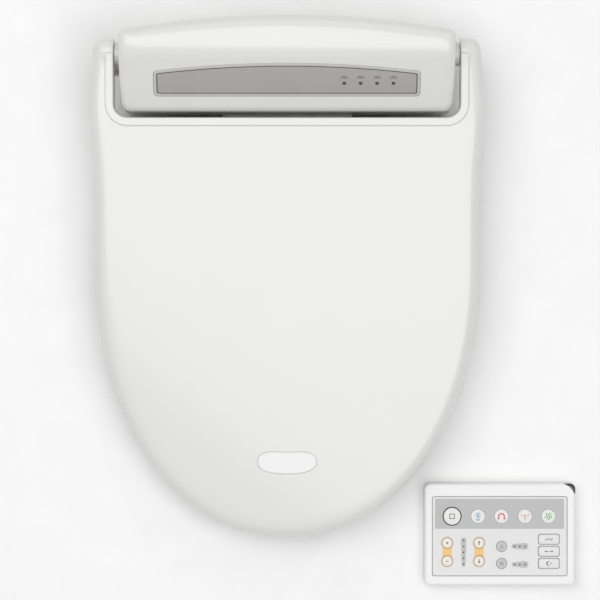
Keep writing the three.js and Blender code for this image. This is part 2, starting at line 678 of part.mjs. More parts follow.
function baseTray() {
  const half = BOX_WIDTH / 2;
  const walls = prism(boxPlan(0), 0, SPLIT)
    .subtract(prism(boxPlan(TRAY_WALL), TRAY_FLOOR.top, SPLIT + 1))
    .subtract(prism(boxPlan(TRAY_WALL), -1, TRAY_FLOOR.under));
  const spout = sidePrism(spoutSide(0), -SPOUT.width / 2, SPOUT.width / 2);
  const inside = SPOUT.width / 2 - SPOUT.wall;
  const hollow = sidePrism(rounded([
    [SPOUT.front + SPOUT.wall, TRAY_FLOOR.top],
    [BOX_FRONT + TRAY_WALL + 2, TRAY_FLOOR.top],
    [BOX_FRONT + TRAY_WALL + 2, SPOUT_HIGH - SPOUT.wall],
    [SPOUT.front + SPOUT.wall, SPOUT_LOW - SPOUT.wall],
  ]), -inside, inside);
  const mouthRadius = NOZZLE.radius + MOUTH.clear;
  const mouth = rodAlongY(SPOUT.front - 1, SPOUT.front + SPOUT.wall + 1, 0, NOZZLE_Z + MOUTH.up, mouthRadius);
  const outlet = block(
    DUCT.x - DUCT.width / 2 + DUCT.wall, DUCT.x + DUCT.width / 2 - DUCT.wall,
    SPOUT.front - 1, SPOUT.front + SPOUT.wall + 1,
    DUCT.low + DUCT.wall, DUCT.high - DUCT.wall - 1,
  );
  return walls
    .add(spout)
    .subtract(hollow)
    .subtract(mouth)
    .subtract(outlet)
    .subtract(rod(-half - 1, -half + TRAY_WALL + 1, INLET.y, INLET.z, INLET.radius + GAP))
    .subtract(rod(half - TRAY_WALL - 1, half + 1, GLAND.y, GLAND.z, GLAND.radius + GAP))
    .subtract(block(
      half - TRAY_WALL - 1, half + 1,
      RELEASE.y - RELEASE.width / 2 - RUN, RELEASE.y + RELEASE.width / 2 + RUN,
      RELEASE.z - RELEASE.height / 2 - RUN, RELEASE.z + RELEASE.height / 2 + RUN,
    ));
}

// A round cylinder along Y.
function rodAlongY(y0, y1, x, z, radius, sides = 20) {
  const geometry = new THREE.CylinderGeometry(radius, radius, y1 - y0, sides);
  return solidOf(geometry.translate(x, (y0 + y1) / 2, z));
}

function mountingBracket() {
  const plate = prism(roundedRectangle(BRACKET.width, BRACKET.depth, BRACKET.corner), 0, BRACKET.thick, 3);
  const slot = prism(roundedRectangle(BRACKET.slot, BRACKET.slotLength, BRACKET.slot / 2 - 0.05), -1, 10, 4);
  const right = slot.translate([BRACKET.spacing / 2, 0, 0]);
  const left = slot.translate([-BRACKET.spacing / 2, 0, 0]);
  return plate.subtract(right).subtract(left);
}

// A damper lies along X; its pin runs out through the box, the lid's flange and the seat's ear.
function damper(side) {
  const inner = BOX_WIDTH / 2 - BOX_WALL - GAP;
  const body = [side * (inner - DAMPER.length), side * inner];
  const pin = [side * (inner - 1), side * PIN_END];
  return rod(Math.min(...body), Math.max(...body), AXIS.y, AXIS.z, DAMPER.radius)
    .add(rod(Math.min(...pin), Math.max(...pin), AXIS.y, AXIS.z, PIN_RADIUS));
}

// ---------- water and air ----------
function waterTank() {
  const { right, y, depth, wall, low, high } = TANK;
  const half = depth / 2;
  return block(TANK_LEFT, right, y - half, y + half, low, high)
    .subtract(block(TANK_LEFT + wall, right - wall, y - half + wall, y + half - wall, low + wall, high + 1));
}

function tankHeater() {
  const { right, y, depth, wall, high } = TANK;
  const x = (TANK_LEFT + right) / 2;
  const apart = ((right - TANK_LEFT) / 2 - wall) * LOOP.share;
  const low = TANK.low + wall + LOOP.rise;
  const middle = high + LOOP.lid / 2;
  const plate = block(TANK_LEFT, right, y - depth / 2, y + depth / 2, high + GAP, high + LOOP.lid);
  const legs = [-apart, apart].map((dx) => post(x + dx, y, low, middle, LOOP.rod, 12));
  const bend = rod(x - apart, x + apart, y, low + LOOP.rod, LOOP.rod, 12);
  const tip = high + LOOP.reach;
  const terminals = [-apart, apart].map((dx) => post(x + dx, y, middle, tip, LOOP.terminal, 12));
  return joined([plate, ...legs, bend, ...terminals]);
}

function alongX(solid) {
  return solid.rotate([0, 90, 0]);
}

function waterInlet() {
  const { radius, bore, reach, tail, flange } = INLET;
  const wide = radius + flange;
  const stub = alongX(turned([
    [bore, -tail], [radius - 1, -tail], [radius, -tail + 2], [radius, TRAY_WALL], [wide, TRAY_WALL + GAP],
    [wide, TRAY_WALL + 3], [radius, TRAY_WALL + 3], [radius, reach - 1], [radius - 1, reach],
    [bore, reach], [bore, -tail],
  ]));
  return stub.rotate([0, 0, 180]).translate([-BOX_WIDTH / 2 + TRAY_WALL, INLET.y, INLET.z]);
}

function inletValve() {
  const { y, z, tail } = INLET;
  const { width, half, rise } = VALVE;
  const x = -BOX_WIDTH / 2 + TRAY_WALL + tail + GAP;
  const body = block(x, x + width, y - half, y + half, z - half, z + rise);
  const coil = post(x + width / 2, y, z + rise - 1, SPLIT + VALVE.coilTop, VALVE.coil, 20);
  const passage = rod(x - 1, x + VALVE.depth, y, z - VALVE.drop, VALVE.bore, 16);
  return body.add(coil).subtract(passage);
}

function airPump() {
  const { x, y, radius, high, port, portHigh } = PUMP;
  return post(x, y, TRAY_FLOOR.top + GAP, high, radius).add(post(x, y, high - 1, portHigh, port, 12));
}

function flowSelector() {
  const { x, y, radius, high } = SELECTOR;
  const body = post(x, y, TRAY_FLOOR.top + GAP, high, radius);
  const ports = [-1, 1].map((side) => post(
    x + side * SELECTOR_PORT.apart, SELECTOR_PORT.y, high - 1, SELECTOR_PORT.high, SELECTOR_PORT.radius, 12,
  ));
  const motor = post(x, SELECTOR_MOTOR.y, high - 1, SELECTOR_MOTOR.high, SELECTOR_MOTOR.radius, 20);
  return joined([body, ...ports, motor]);
}

function mainBoard() {
  const z = SLOPE_FOOT - CIRCUIT.drop;
  return block(...CIRCUIT.x, ...CIRCUIT.y, z, z + CIRCUIT.thick)
    .add(block(...RELAY.x, ...RELAY.y, z + 1, z + RELAY.high))
    .add(block(...CAPACITOR.x, ...CAPACITOR.y, z + 1, z + CAPACITOR.high));
}

// ---------- nozzle: in its own tilted group, y = 0 at the tip and rising to the rear ----------
function nozzleGroup() {
  const group = new THREE.Group();
  group.position.set(0, SPOUT.front, NOZZLE_Z);
  group.rotation.x = THREE.MathUtils.degToRad(NOZZLE.tilt);
  model.add(group);
  return group;
}

function alongY(solid) {
  return solid.rotate([-90, 0, 0]);
}

function nozzleBarrel() {
  const { radius, length } = NOZZLE;
  return alongY(turned([
    [0, 0.4], [radius * 0.5, 0.8], [radius * 0.87, 2.4], [radius, 5], [radius, length - 2],
    [radius - 2, length], [0, length],
  ]));
}

function nozzleRack() {
  const pitch = (2 * Math.PI * PINION.radius) / PINION.teeth;
  const inner = NOZZLE.radius + GAP;
  const root = inner + RACK.width - RACK.tooth;
  const shape = new THREE.Shape();
  const end = NOZZLE.length - 1;
  // A gap between two teeth faces the pinion's own tooth at rest.
  const phase = (PINION.at - RACK.from) % pitch;
  shape.moveTo(inner, RACK.from);
  shape.lineTo(root, RACK.from);
  for (let y = RACK.from + phase + pitch * 0.33 - pitch; y < end - pitch; y += pitch) {
    if (y < RACK.from) continue;
    shape.lineTo(root, y);
    shape.lineTo(root + RACK.tooth, y + 0.15);
    shape.lineTo(root + RACK.tooth, y + pitch * 0.34 - 0.15);
    shape.lineTo(root, y + pitch * 0.34);
  }
  shape.lineTo(root, end);
  shape.lineTo(inner, end);
  return prism(shape, -RACK.thick / 2, RACK.thick / 2);
}

function pinionX() {
  return NOZZLE.radius + GAP + RACK.width - RACK.tooth / 2 + PINION.radius;
}

function nozzlePinion() {
  const { teeth, radius, thick, bore } = PINION;
  const pitch = (2 * Math.PI) / teeth;
  const shape = new THREE.Shape();
  for (let i = 0; i < teeth; i += 1) {
    const middle = Math.PI + i * pitch;
    const corners = [
      [-0.2, radius - 0.7], [-0.15, radius + 0.35], [0.15, radius + 0.35], [0.2, radius - 0.7],
    ];
    corners.forEach(([part, r], k) => {
      const angle = middle + part * pitch;
      if (i === 0 && k === 0) shape.moveTo(r * Math.cos(angle), r * Math.sin(angle));
      else shape.lineTo(r * Math.cos(angle), r * Math.sin(angle));
    });
  }
  shape.closePath();
  return prism(shape, -thick / 2, thick / 2).subtract(post(0, 0, -thick, thick, bore, 16));
}

function nozzleGuide() {
  const r = NOZZLE.radius;
  const x = pinionX();
  const far = x + PINION.radius + GUIDE.gap;
  const wallFar = far + GUIDE.wall;
  const left = -r - GUIDE.side;
  const end = NOZZLE.length;
  const under = -r - GUIDE.under;
  const low = under - GUIDE.thick;
  const floor = block(left, wallFar, ...GUIDE.span, low, under)
    .add(block(left, r + 3, GUIDE.from, end, low, under));
  const rail = block(left, -r - GUIDE.gap, GUIDE.from, end, -r - 1, 3);
  const shelfZ = PINION.thick / 2 + SHELF.clear;
  const [shelfFrom, shelfTo] = [PINION.at - SHELF.reach, PINION.at + SHELF.reach];
  const shelf = block(x - SHELF.behind, wallFar, shelfFrom, shelfTo, shelfZ, shelfZ + SHELF.thick)
    .add(block(far, wallFar, shelfFrom, shelfTo, -r - 1, shelfZ + 1));
  const [webFrom, webTo] = [GUIDE.web[0], end - GUIDE.web[1]];
  const lowAt = (y) => (TRAY_FLOOR.top + GAP - NOZZLE_Z - y * Math.sin(tilt())) / Math.cos(tilt());
  const web = sidePrism(rounded([
    [webFrom, lowAt(webFrom)], [webTo, lowAt(webTo)], [webTo, -r - 1], [webFrom, -r - 1],
  ]), -1.5, 1.5);
  return joined([floor, rail, shelf, web])
    .subtract(post(x, PINION.at, -r - 1, shelfZ + 3, PINION.bore + 0.5, 16));
}

function tilt() {
  return THREE.MathUtils.degToRad(NOZZLE.tilt);
}

function nozzleMotor() {
  const z = PINION.thick / 2 + SHELF.clear + SHELF.thick + GAP;
  const body = post(0, 0, z, z + MOTOR.length, MOTOR.radius);
  return body.add(post(0, 0, -PINION.thick / 2, z + 1, PINION.bore - GAP, 12));
}

// ---------- dryer ----------
function blowerHousing() {
  const { y, wall, height, snout } = BLOWER;
  const low = TRAY_FLOOR.top + GAP;
  const right = DUCT.x + DUCT.width / 2 + GAP;
  const [front, back] = [-BLOWER_RADIUS, -BLOWER_RADIUS + snout];
  return post(BLOWER_X, y, low, low + height, BLOWER_RADIUS, 32)
    .add(block(right, BLOWER_X, front, back, low, DUCT.high))
    .subtract(post(BLOWER_X, y, low + wall, low + height + 1, BLOWER_RADIUS - wall, 32))
    .subtract(block(right - 1, BLOWER_X, front + wall, back - wall, low + wall, DUCT.high - wall));
}

function blowerMotor() {
  const { y, wall, height, motor } = BLOWER;
  const z = TRAY_FLOOR.top + GAP + height + GAP;
  const from = (motor + BLOWER_RADIUS - 2) / 2;
  const intakeRadius = (BLOWER_RADIUS - motor) / 4;
  const intake = [0, 1, 2, 3].map((i) => {
    const angle = (i + 0.5) * (Math.PI / 2);
    return post(from * Math.cos(angle), from * Math.sin(angle), z - 1, z + 3, intakeRadius, 14);
  });
  return post(0, 0, z, z + 2, BLOWER_RADIUS, 32)
    .subtract(joined(intake))
    .add(post(0, 0, z, z + 20, motor))
    .add(post(0, 0, TRAY_FLOOR.top + wall + 4, z + 1, IMPELLER.shaft, 12))
    .translate([BLOWER_X, y, 0]);
}

function blowerImpeller() {
  const { clear, hub, blade, half, shaft } = IMPELLER;
  const low = TRAY_FLOOR.top + BLOWER.wall + 2;
  const high = TRAY_FLOOR.top + BLOWER.height - 3;
  const outer = BLOWER_RADIUS - BLOWER.wall - clear;
  const blades = Array.from({ length: BLOWER.blades }, (_, i) => {
    const vane = block(outer - blade, outer - 0.5, -half, half, low + 1, high);
    return vane.rotate([0, 0, (360 / BLOWER.blades) * i]);
  });
  return joined([post(0, 0, low, low + 2, outer, 28), post(0, 0, low, high - 4, hub, 16), ...blades])
    .subtract(post(0, 0, low - 1, high, shaft + RUN, 12));
}

function dryerDuct() {
  const { x, width, wall, low, high, past } = DUCT;
  const front = SPOUT.front + SPOUT.wall + GAP;
  const back = past - BLOWER_RADIUS;
  const half = width / 2;
  const [openFrom, openTo] = [BLOWER.wall - BLOWER_RADIUS, BLOWER.snout - BLOWER.wall - BLOWER_RADIUS];
  return block(x - half, x + half, front, back, low, high)
    .subtract(block(x - half + wall, x + half - wall, front - 1, back - wall, low + wall, high - wall))
    .subtract(block(x, x + half + 1, openFrom, openTo, low + wall, high - wall));
}

function dryerFlap() {
  const half = DUCT.width / 2 - FLAP.side;
  const tall = DUCT.high - DUCT.low - FLAP.drop - FLAP.foot;
  const roll = rod(-half, half, -FLAP.thick / 2, 0, FLAP.roll, 12);
  return block(-half, half, -FLAP.thick, 0, -tall, 0).add(roll);
}

// ---------- mains gland and release button ----------
function cordGland() {
  const { radius, bore } = GLAND;
  const points = [
    [bore, -8], [radius - 1, -8], [radius, -6], [radius, TRAY_WALL], [radius + 2, TRAY_WALL + GAP],
    [radius + 2, TRAY_WALL + 2.5], [radius - 1.5, TRAY_WALL + 3.5], [radius - 2.5, TRAY_WALL + 12],
    [bore, TRAY_WALL + 12], [bore, -8],
  ];
  return alongX(turned(points)).translate([BOX_WIDTH / 2 - TRAY_WALL, GLAND.y, GLAND.z]);
}

function releaseButton() {
  const { y, z, width, height, travel, depth, collar, proud } = RELEASE;
  const half = BOX_WIDTH / 2;
  const inner = half - TRAY_WALL - depth;
  const plate = (x0, x1, grow) => block(
    x0, x1, y - width / 2 - grow, y + width / 2 + grow, z - height / 2 - grow, z + height / 2 + grow,
  );
  return plate(inner, half + travel - proud, 0).add(plate(inner, half - TRAY_WALL - GAP, collar));
}

// ---------- handset: in its own group, flat on its back, x right and y up the face ----------
function handsetGroup() {
  const group = new THREE.Group();
  const y = NOSE_Y;
  const lidSide = halfWidthAt(y + HANDSET.height / 2);
  group.position.set(lidSide + HANDSET.clear + HANDSET.width / 2, y, 0);
  model.add(group);
  return group;
}

function handsetPlan(inset) {
  const corner = Math.max(1, HANDSET.corner - inset);
  return roundedRectangle(HANDSET.width - 2 * inset, HANDSET.height - 2 * inset, corner);
}

// A place on the face, given from the pad's upper left corner.
function onPad(fromLeft, fromTop) {
  const x = -HANDSET.width / 2 + PAD.left + fromLeft;
  const y = HANDSET.height / 2 - PAD.top - fromTop;
  return [x, y];
}

function padBlock(grow, z0, z1) {
  const [x, y] = onPad(PAD.width / 2, PAD.height / 2);
  return prism(roundedRectangle(PAD.width + 2 * grow, PAD.height + 2 * grow, 3), z0, z1).translate([x, y, 0]);
}

function doorBlock(grow, z0, z1) {
  const low = -HANDSET.height / 2;
  return block(-DOOR.width / 2 - grow, DOOR.width / 2 + grow, low - 1, low + DOOR.length + grow, z0, z1);
}

function cornerBlock(grow, z0, z1) {
  const [x, y] = [HANDSET.width / 2, HANDSET.height / 2];
  return block(x - WINDOW.width - grow, x + 5, y - WINDOW.height - grow, y + 5, z0, z1);
}

function handsetBack() {
  const { wall, split } = HANDSET;
  const half = CELL.length / 2 + CELL.room;
  const low = -HANDSET.height / 2;
  return prism(handsetPlan(0), 0, split)
    .subtract(prism(handsetPlan(wall), 2 * wall + 0.2, split + 1))
    .subtract(doorBlock(GAP, -1, DOOR.thick + GAP))
    .subtract(block(-half, half, low + CELL.bay[0], low + CELL.bay[1], 1, split));
}

function batteryDoor() {
  return prism(handsetPlan(0), GAP, DOOR.thick).intersect(doorBlock(0, 0, 5));
}

function handsetFront() {
  const { wall, split, thick } = HANDSET;
  return prism(handsetPlan(0), split + GAP, thick)
    .subtract(prism(handsetPlan(wall), split, thick - wall))
    .subtract(padBlock(GAP, split, thick + 1))
    .subtract(cornerBlock(GAP, split, thick + 1));
}

function handsetWindow() {
  const { wall, split, thick } = HANDSET;
  return prism(handsetPlan(0), split + GAP, thick)
    .intersect(cornerBlock(0, split, thick + 1))
    .subtract(prism(handsetPlan(wall), split, thick - wall));
}

// Every key: name, place from the pad's upper left corner, and radius or width and height.
const KEYS = [
  { name: 'key_stop', at: [20.1, 20], radius: 9.5 },
  { name: 'key_rear_wash', at: [46.7, 20], radius: 7.3 },
  { name: 'key_front_wash', at: [70.8, 20], radius: 7.3 },
  { name: 'key_auto_wash', at: [94.9, 20], radius: 7.3 },
  { name: 'key_dryer', at: [119, 20], radius: 7.3 },
  { name: 'key_pressure_up', at: [15.1, 47.4], radius: 5.7 },
  { name: 'key_pressure_down', at: [15.1, 66.1], radius: 5.7 },
  { name: 'key_nozzle_forward', at: [47.8, 47.4], radius: 5.7 },
  { name: 'key_nozzle_back', at: [47.8, 66.1], radius: 5.7 },
  { name: 'key_water_heat', at: [71, 51], radius: 5.3 },
  { name: 'key_seat_heat', at: [71, 68.5], radius: 5.3 },
  { name: 'key_massage', at: [119.5, 43.6], width: 21.6, height: 10.4 },
  { name: 'key_moving', at: [119.5, 56], width: 21.6, height: 10.4 },
  { name: 'key_energy_saving', at: [119.5, 68.4], width: 21.6, height: 10.4 },
];

function keySolid(key, grow, z0, z1) {
  if (key.radius) return post(0, 0, z0, z1, key.radius + grow, 16);
  return prism(roundedRectangle(key.width + 2 * grow, key.height + 2 * grow, KEY_CORNER), z0, z1, 2);
}

function handsetPad() {
  const top = HANDSET.thick - PAD.sunk;
  const holes = KEYS.map((key) => {
    const [x, y] = onPad(...key.at);
    return keySolid(key, RUN, top - PAD.thick - 1, top + 1).translate([x, y, 0]);
  });
  return padBlock(0, top - PAD.thick, top).subtract(joined(holes));
}

function handsetBoard() {
  const [width, height] = [HANDSET.width - 2 * BOARD.inset, HANDSET.height - 2 * BOARD.inset];
  const shape = roundedRectangle(width, height, BOARD.corner);
  return prism(shape, BOARD.z, BOARD.z + BOARD.thick);
}

function cell() {
  const { radius, length } = CELL;
  return alongX(turned([
    [0, -length / 2], [radius, -length / 2], [radius, length / 2 - 1.5], [2, length / 2 - 1.5],
    [2, length / 2], [0, length / 2],
  ], 20));
}

// ---------- assembly ----------
add('lid_shell', lidShell(), WHITE);
add('lid_badge', lidBadge(), WHITE_MATT);
add('lid_bumper_left', lidBumper(-1), RUBBER);
add('lid_bumper_right', lidBumper(1), RUBBER);

add('seat_top', seatShell(), WHITE);
add('seat_underside', seatUnderside(), WHITE_MATT);
add('seat_heater', seatHeater(), COPPER);
const bumpers = {
  seat_bumper_front_left: [-FOOT.noseX, HOLE_FRONT - FOOT.fromNose],
  seat_bumper_front_right: [FOOT.noseX, HOLE_FRONT - FOOT.fromNose],
  seat_bumper_rear_left: [-HOLE_WIDTH / 2 - FOOT.beside, HOLE_BACK - FOOT.behind],
  seat_bumper_rear_right: [HOLE_WIDTH / 2 + FOOT.beside, HOLE_BACK - FOOT.behind],
};
for (const [name, [x, y]] of Object.entries(bumpers)) {
  add(name, seatBumper(), RUBBER).position.set(x, y, 0);
}

add('base_tray', baseTray(), WHITE_MATT);
add('top_cover', topCover(), WHITE);
add('panel_bezel', panelBezel(), RIM_GREY);
add('panel_window', panelWindow(), PANEL_GREY);
add('indicator_strip', indicatorStrip(), DARK);
add('mounting_bracket', mountingBracket(), WHITE_MATT);
add('seat_damper', damper(1), STEEL);
add('lid_damper', damper(-1), STEEL);
add('main_board', mainBoard(), BOARD_GREEN);
add('water_tank', waterTank(), WHITE_MATT);
add('tank_heater', tankHeater(), STEEL);
add('water_inlet', waterInlet(), BRASS);
add('inlet_valve', inletValve(), DARK);
add('air_pump', airPump(), DARK);
add('flow_selector', flowSelector(), WHITE_MATT);
add('cord_gland', cordGland(), RUBBER);
add('release_button', releaseButton(), WHITE);

const nozzle = nozzleGroup();
add('nozzle_barrel', nozzleBarrel(), STEEL, nozzle);
add('nozzle_rack', nozzleRack(), WHITE_MATT, nozzle);
add('nozzle_guide', nozzleGuide(), WHITE_MATT, nozzle);
add('nozzle_pinion', nozzlePinion(), WHITE_MATT, nozzle).position.set(pinionX(), PINION.at, 0);
add('nozzle_motor', nozzleMotor(), STEEL, nozzle).position.set(pinionX(), PINION.at, 0);

add('blower_housing', blowerHousing(), DARK);
add('blower_motor', blowerMotor(), STEEL);
add('blower_impeller', blowerImpeller(), WHITE_MATT).position.set(BLOWER_X, BLOWER.y, 0);
add('dryer_duct', dryerDuct(), WHITE_MATT);
const flap = add('dryer_flap', dryerFlap(), WHITE_MATT);
flap.position.set(DUCT.x, SPOUT.front - FLAP.gap, DUCT.high - FLAP.drop);

const handset = handsetGroup();
add('remote_back', handsetBack(), WHITE_MATT, handset);
add('remote_front', handsetFront(), WHITE, handset);
add('remote_window', handsetWindow(), BLACK, handset);
add('remote_pad', handsetPad(), WHITE_MATT, handset);
add('remote_board', handsetBoard(), BOARD_GREEN, handset);
add('battery_door', batteryDoor(), WHITE_MATT, handset);
for (const [name, offset] of [['battery_upper', CELL.upper], ['battery_lower', CELL.lower]]) {
  const mesh = add(name, cell(), CELL_SLEEVE, handset);
  mesh.position.set(0, -HANDSET.height / 2 + offset, DOOR.thick + GAP + CELL.radius + GAP);
}
const keyLow = BOARD.z + BOARD.thick + KEY_TRAVEL + KEY_REST;
const keyHigh = HANDSET.thick - PAD.sunk + KEY_RISE;
for (const key of KEYS) {
  const look = key.radius && key.radius < 5.5 ? KEY_GREY : WHITE;
  const mesh = add(key.name, keySolid(key, 0, keyLow, keyHigh), look, handset);
  mesh.position.set(...onPad(...key.at), 0);
}

export default model;
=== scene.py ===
# %% [markdown]
# # An electric bidet seat and its handset
#
# A real one is mostly injection-moulded plastic: a lid, a ring, a control box with a grey panel,
# and a handset full of small keys. What makes such a thing look real is not colour, because nearly
# all of it is the same white. It is the roundings, the gaps between the shells and the way gloss
# runs over them. So this lesson spends its effort on edges.
#
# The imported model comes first. It gives every piece its place, so nothing here is fitted by eye.

# %% Load the frame
import json
import math

import bmesh
import bpy
import numpy as np
from mathutils import Matrix, Vector
from mathutils.geometry import delaunay_2d_cdt


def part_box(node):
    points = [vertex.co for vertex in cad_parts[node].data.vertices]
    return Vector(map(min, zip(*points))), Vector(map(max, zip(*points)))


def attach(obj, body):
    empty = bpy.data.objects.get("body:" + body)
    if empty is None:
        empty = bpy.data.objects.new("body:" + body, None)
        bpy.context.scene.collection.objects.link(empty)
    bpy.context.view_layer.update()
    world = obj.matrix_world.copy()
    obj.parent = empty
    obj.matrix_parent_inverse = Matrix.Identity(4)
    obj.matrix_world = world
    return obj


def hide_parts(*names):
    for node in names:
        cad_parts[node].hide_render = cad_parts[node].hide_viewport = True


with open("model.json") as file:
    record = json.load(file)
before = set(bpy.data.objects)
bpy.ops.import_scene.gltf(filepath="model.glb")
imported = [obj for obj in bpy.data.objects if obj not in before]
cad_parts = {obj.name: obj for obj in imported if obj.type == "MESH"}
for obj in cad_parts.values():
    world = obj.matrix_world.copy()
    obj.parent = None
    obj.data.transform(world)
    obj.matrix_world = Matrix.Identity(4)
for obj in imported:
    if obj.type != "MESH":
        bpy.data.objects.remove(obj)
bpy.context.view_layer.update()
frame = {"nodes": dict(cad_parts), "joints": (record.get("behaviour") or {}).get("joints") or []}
MM = 0.001


def corners_mm(node):
    """A node's lowest and highest corners in millimetres."""
    return [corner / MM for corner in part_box(node)]


print("frame with", len(frame["nodes"]), "nodes")

# %% [markdown]
# ## Colours and finishes
#
# Moulded ABS has a hard, even gloss. A mirror-flat surface looks like a toy, because a real shell
# has a very slight waviness from the mould and a roughness that drifts a little. Both are noise,
# scaled from a real size in millimetres, and both stay faint.

# %% Colour and node helpers
def linear(hex_colour):
    """An sRGB hex colour as the linear RGBA that shaders take."""
    channels = [int(hex_colour[i:i + 2], 16) / 255 for i in (1, 3, 5)]
    return [c / 12.92 if c <= 0.04045 else ((c + 0.055) / 1.055) ** 2.4 for c in channels] + [1.0]


def add_node(tree, kind, settings=None, links=None, **inputs):
    """Adds one node, sets its properties and inputs, and links sockets into it."""
    node = tree.nodes.new(kind)
    for name, value in (settings or {}).items():
        setattr(node, name, value)
    for name, value in inputs.items():
        node.inputs[name.replace("_", " ")].default_value = value
    for name, socket in (links or {}).items():
        tree.links.new(socket, node.inputs[name])
    return node


def finish(name, colour, rough, metal=0.0, coat=0.0, drift=0.05, tint=0.02,
           grain_mm=6.0, bump_mm=0.01, stretch=(1, 1, 1)):
    """A procedural finish: colour and roughness drift a little, and a bump follows the grain."""
    material = bpy.data.materials.new(name)
    material.use_nodes = True
    tree = material.node_tree
    shader = tree.nodes["Principled BSDF"]
    shader.inputs["Metallic"].default_value = metal
    shader.inputs["Coat Weight"].default_value = coat
    shader.inputs["Coat Roughness"].default_value = 0.08
    place = add_node(tree, "ShaderNodeTexCoord")
    turn = add_node(tree, "ShaderNodeMapping", links={"Vector": place.outputs["Object"]}, Scale=stretch)
    where = turn.outputs["Vector"]
    wander = add_node(tree, "ShaderNodeTexNoise", links={"Vector": where},
                      Scale=1 / (40 * MM), Detail=3.0)
    grain = add_node(tree, "ShaderNodeTexNoise", links={"Vector": where},
                     Scale=1 / (grain_mm * MM), Detail=2.0)
    base = linear(colour)
    shades = add_node(tree, "ShaderNodeValToRGB", links={"Fac": wander.outputs["Fac"]})
    shades.color_ramp.elements[0].position = 0.3
    shades.color_ramp.elements[1].position = 0.7
    shades.color_ramp.elements[0].color = [c * (1 - tint) for c in base[:3]] + [1]
    shades.color_ramp.elements[1].color = [min(1, c * (1 + tint)) for c in base[:3]] + [1]
    tree.links.new(shades.outputs["Color"], shader.inputs["Base Color"])
    spread = add_node(tree, "ShaderNodeMapRange", links={"Value": grain.outputs["Fac"]})
    spread.inputs["To Min"].default_value = max(0.02, rough - drift)
    spread.inputs["To Max"].default_value = min(1, rough + drift)
    tree.links.new(spread.outputs["Result"], shader.inputs["Roughness"])
    bump = add_node(tree, "ShaderNodeBump", links={"Height": grain.outputs["Fac"]},
                    Strength=1.0, Distance=bump_mm * MM)
    tree.links.new(bump.outputs["Normal"], shader.inputs["Normal"])
    return material


print("mid grey in linear light:", round(linear("#808080")[0], 3))

# %% The finishes
# Polished ABS: white, hard gloss with a soft wide highlight.
white_gloss = finish("polished_white_abs", "#E3E3E2", 0.24, coat=0.25, drift=0.01, grain_mm=9,
                     bump_mm=0.006, tint=0.004)
# Spark-eroded polypropylene: the same white, but its fine texture spreads the light.
white_matt = finish("textured_white_polypropylene", "#E4E4E2", 0.5, grain_mm=1.2, bump_mm=0.02, tint=0.012)
# The handset's shell is slightly greyer and satin.
white_satin = finish("satin_white_abs", "#F0F0F0", 0.36, coat=0.1, grain_mm=3, bump_mm=0.006, tint=0.006)
# Screen-printed acrylic over the lamps: even grey, smooth.
panel_grey = finish("printed_grey_acrylic", "#ABAAA7", 0.3, coat=0.3, grain_mm=12, bump_mm=0.003)
rim_grey = finish("silver_grey_abs", "#C6C5C2", 0.42, grain_mm=2, bump_mm=0.01)
line_dark = finish("dark_grey_ink", "#47474A", 0.4, grain_mm=2, bump_mm=0.004)
lamp_dark = finish("smoked_lamp_resin", "#3E3E40", 0.2, coat=0.5, grain_mm=2, bump_mm=0.002)
black_gloss = finish("infrared_black_acrylic", "#0B0B0C", 0.12, coat=0.8, grain_mm=8, bump_mm=0.003)
dark_plastic = finish("charcoal_nylon", "#4A4A4A", 0.5, grain_mm=0.8, bump_mm=0.03)
# Elastomer feet: grainy and without shine.
rubber_grey = finish("grey_elastomer", "#B3B3B0", 0.82, grain_mm=0.7, bump_mm=0.04, tint=0.04)
# Drawn steel: the grain is long in one direction.
steel = finish("drawn_steel", "#C4C7CA", 0.28, metal=1, grain_mm=0.8, bump_mm=0.004, stretch=(0.08, 1, 1))
# The union is brass under a thin nickel plate, so it is grey with a warm cast.
brass = finish("nickel_plated_brass", "#BEB9AE", 0.3, metal=1, grain_mm=0.5, bump_mm=0.008,
               stretch=(1, 0.1, 0.1))
board_green = finish("solder_masked_board", "#1C5A38", 0.45, coat=0.3, grain_mm=1, bump_mm=0.01, tint=0.12)
copper_foil = finish("etched_copper_foil", "#B8754A", 0.38, metal=1, grain_mm=1.5, bump_mm=0.01, tint=0.06)
cell_sleeve = finish("printed_cell_sleeve", "#2F6FA8", 0.32, coat=0.3, grain_mm=5, bump_mm=0.003)
# Printed film and inks of the handset.
film_pale = finish("pale_keypad_film", "#E5E5E5", 0.44, grain_mm=0.6, bump_mm=0.01)
film_grey = finish("grey_keypad_film", "#BDBDBE", 0.44, grain_mm=0.6, bump_mm=0.01, tint=0.01)
key_grey = finish("grey_silicone_key", "#C6C6C7", 0.5, grain_mm=0.6, bump_mm=0.012)
key_pale = finish("pale_silicone_key", "#EAEAE7", 0.45, grain_mm=0.6, bump_mm=0.012, tint=0.01)
ink_tan = finish("tan_ink", "#E9C591", 0.45, grain_mm=0.8, bump_mm=0.004)
ink_orange = finish("orange_ink", "#F4C682", 0.45, grain_mm=0.8, bump_mm=0.004)
ink_brown = finish("umber_ink", "#4C463F", 0.4, grain_mm=0.8, bump_mm=0.004)
ink_blue = finish("blue_ink", "#6FA3DC", 0.4, grain_mm=0.8, bump_mm=0.004)
ink_rose = finish("rose_ink", "#D6506F", 0.4, grain_mm=0.8, bump_mm=0.004)
ink_red = finish("vermilion_ink", "#D8684C", 0.4, grain_mm=0.8, bump_mm=0.004)
ink_green = finish("leaf_green_ink", "#6FB550", 0.4, grain_mm=0.8, bump_mm=0.004)
print("finishes:", len(bpy.data.materials))

# %% [markdown]
# ## Shells from a plan and a height
#
# Every shell here can be read from above: an outline, a height over it, and a rounding where it
# turns down into a wall. A subdivided cage could give that too, but its roundings pinch at
# corners. Laying rows of points at set distances from the edge, exactly where the rounding needs
# them, gives even reflections, and the flat middle takes only a coarse net of triangles.

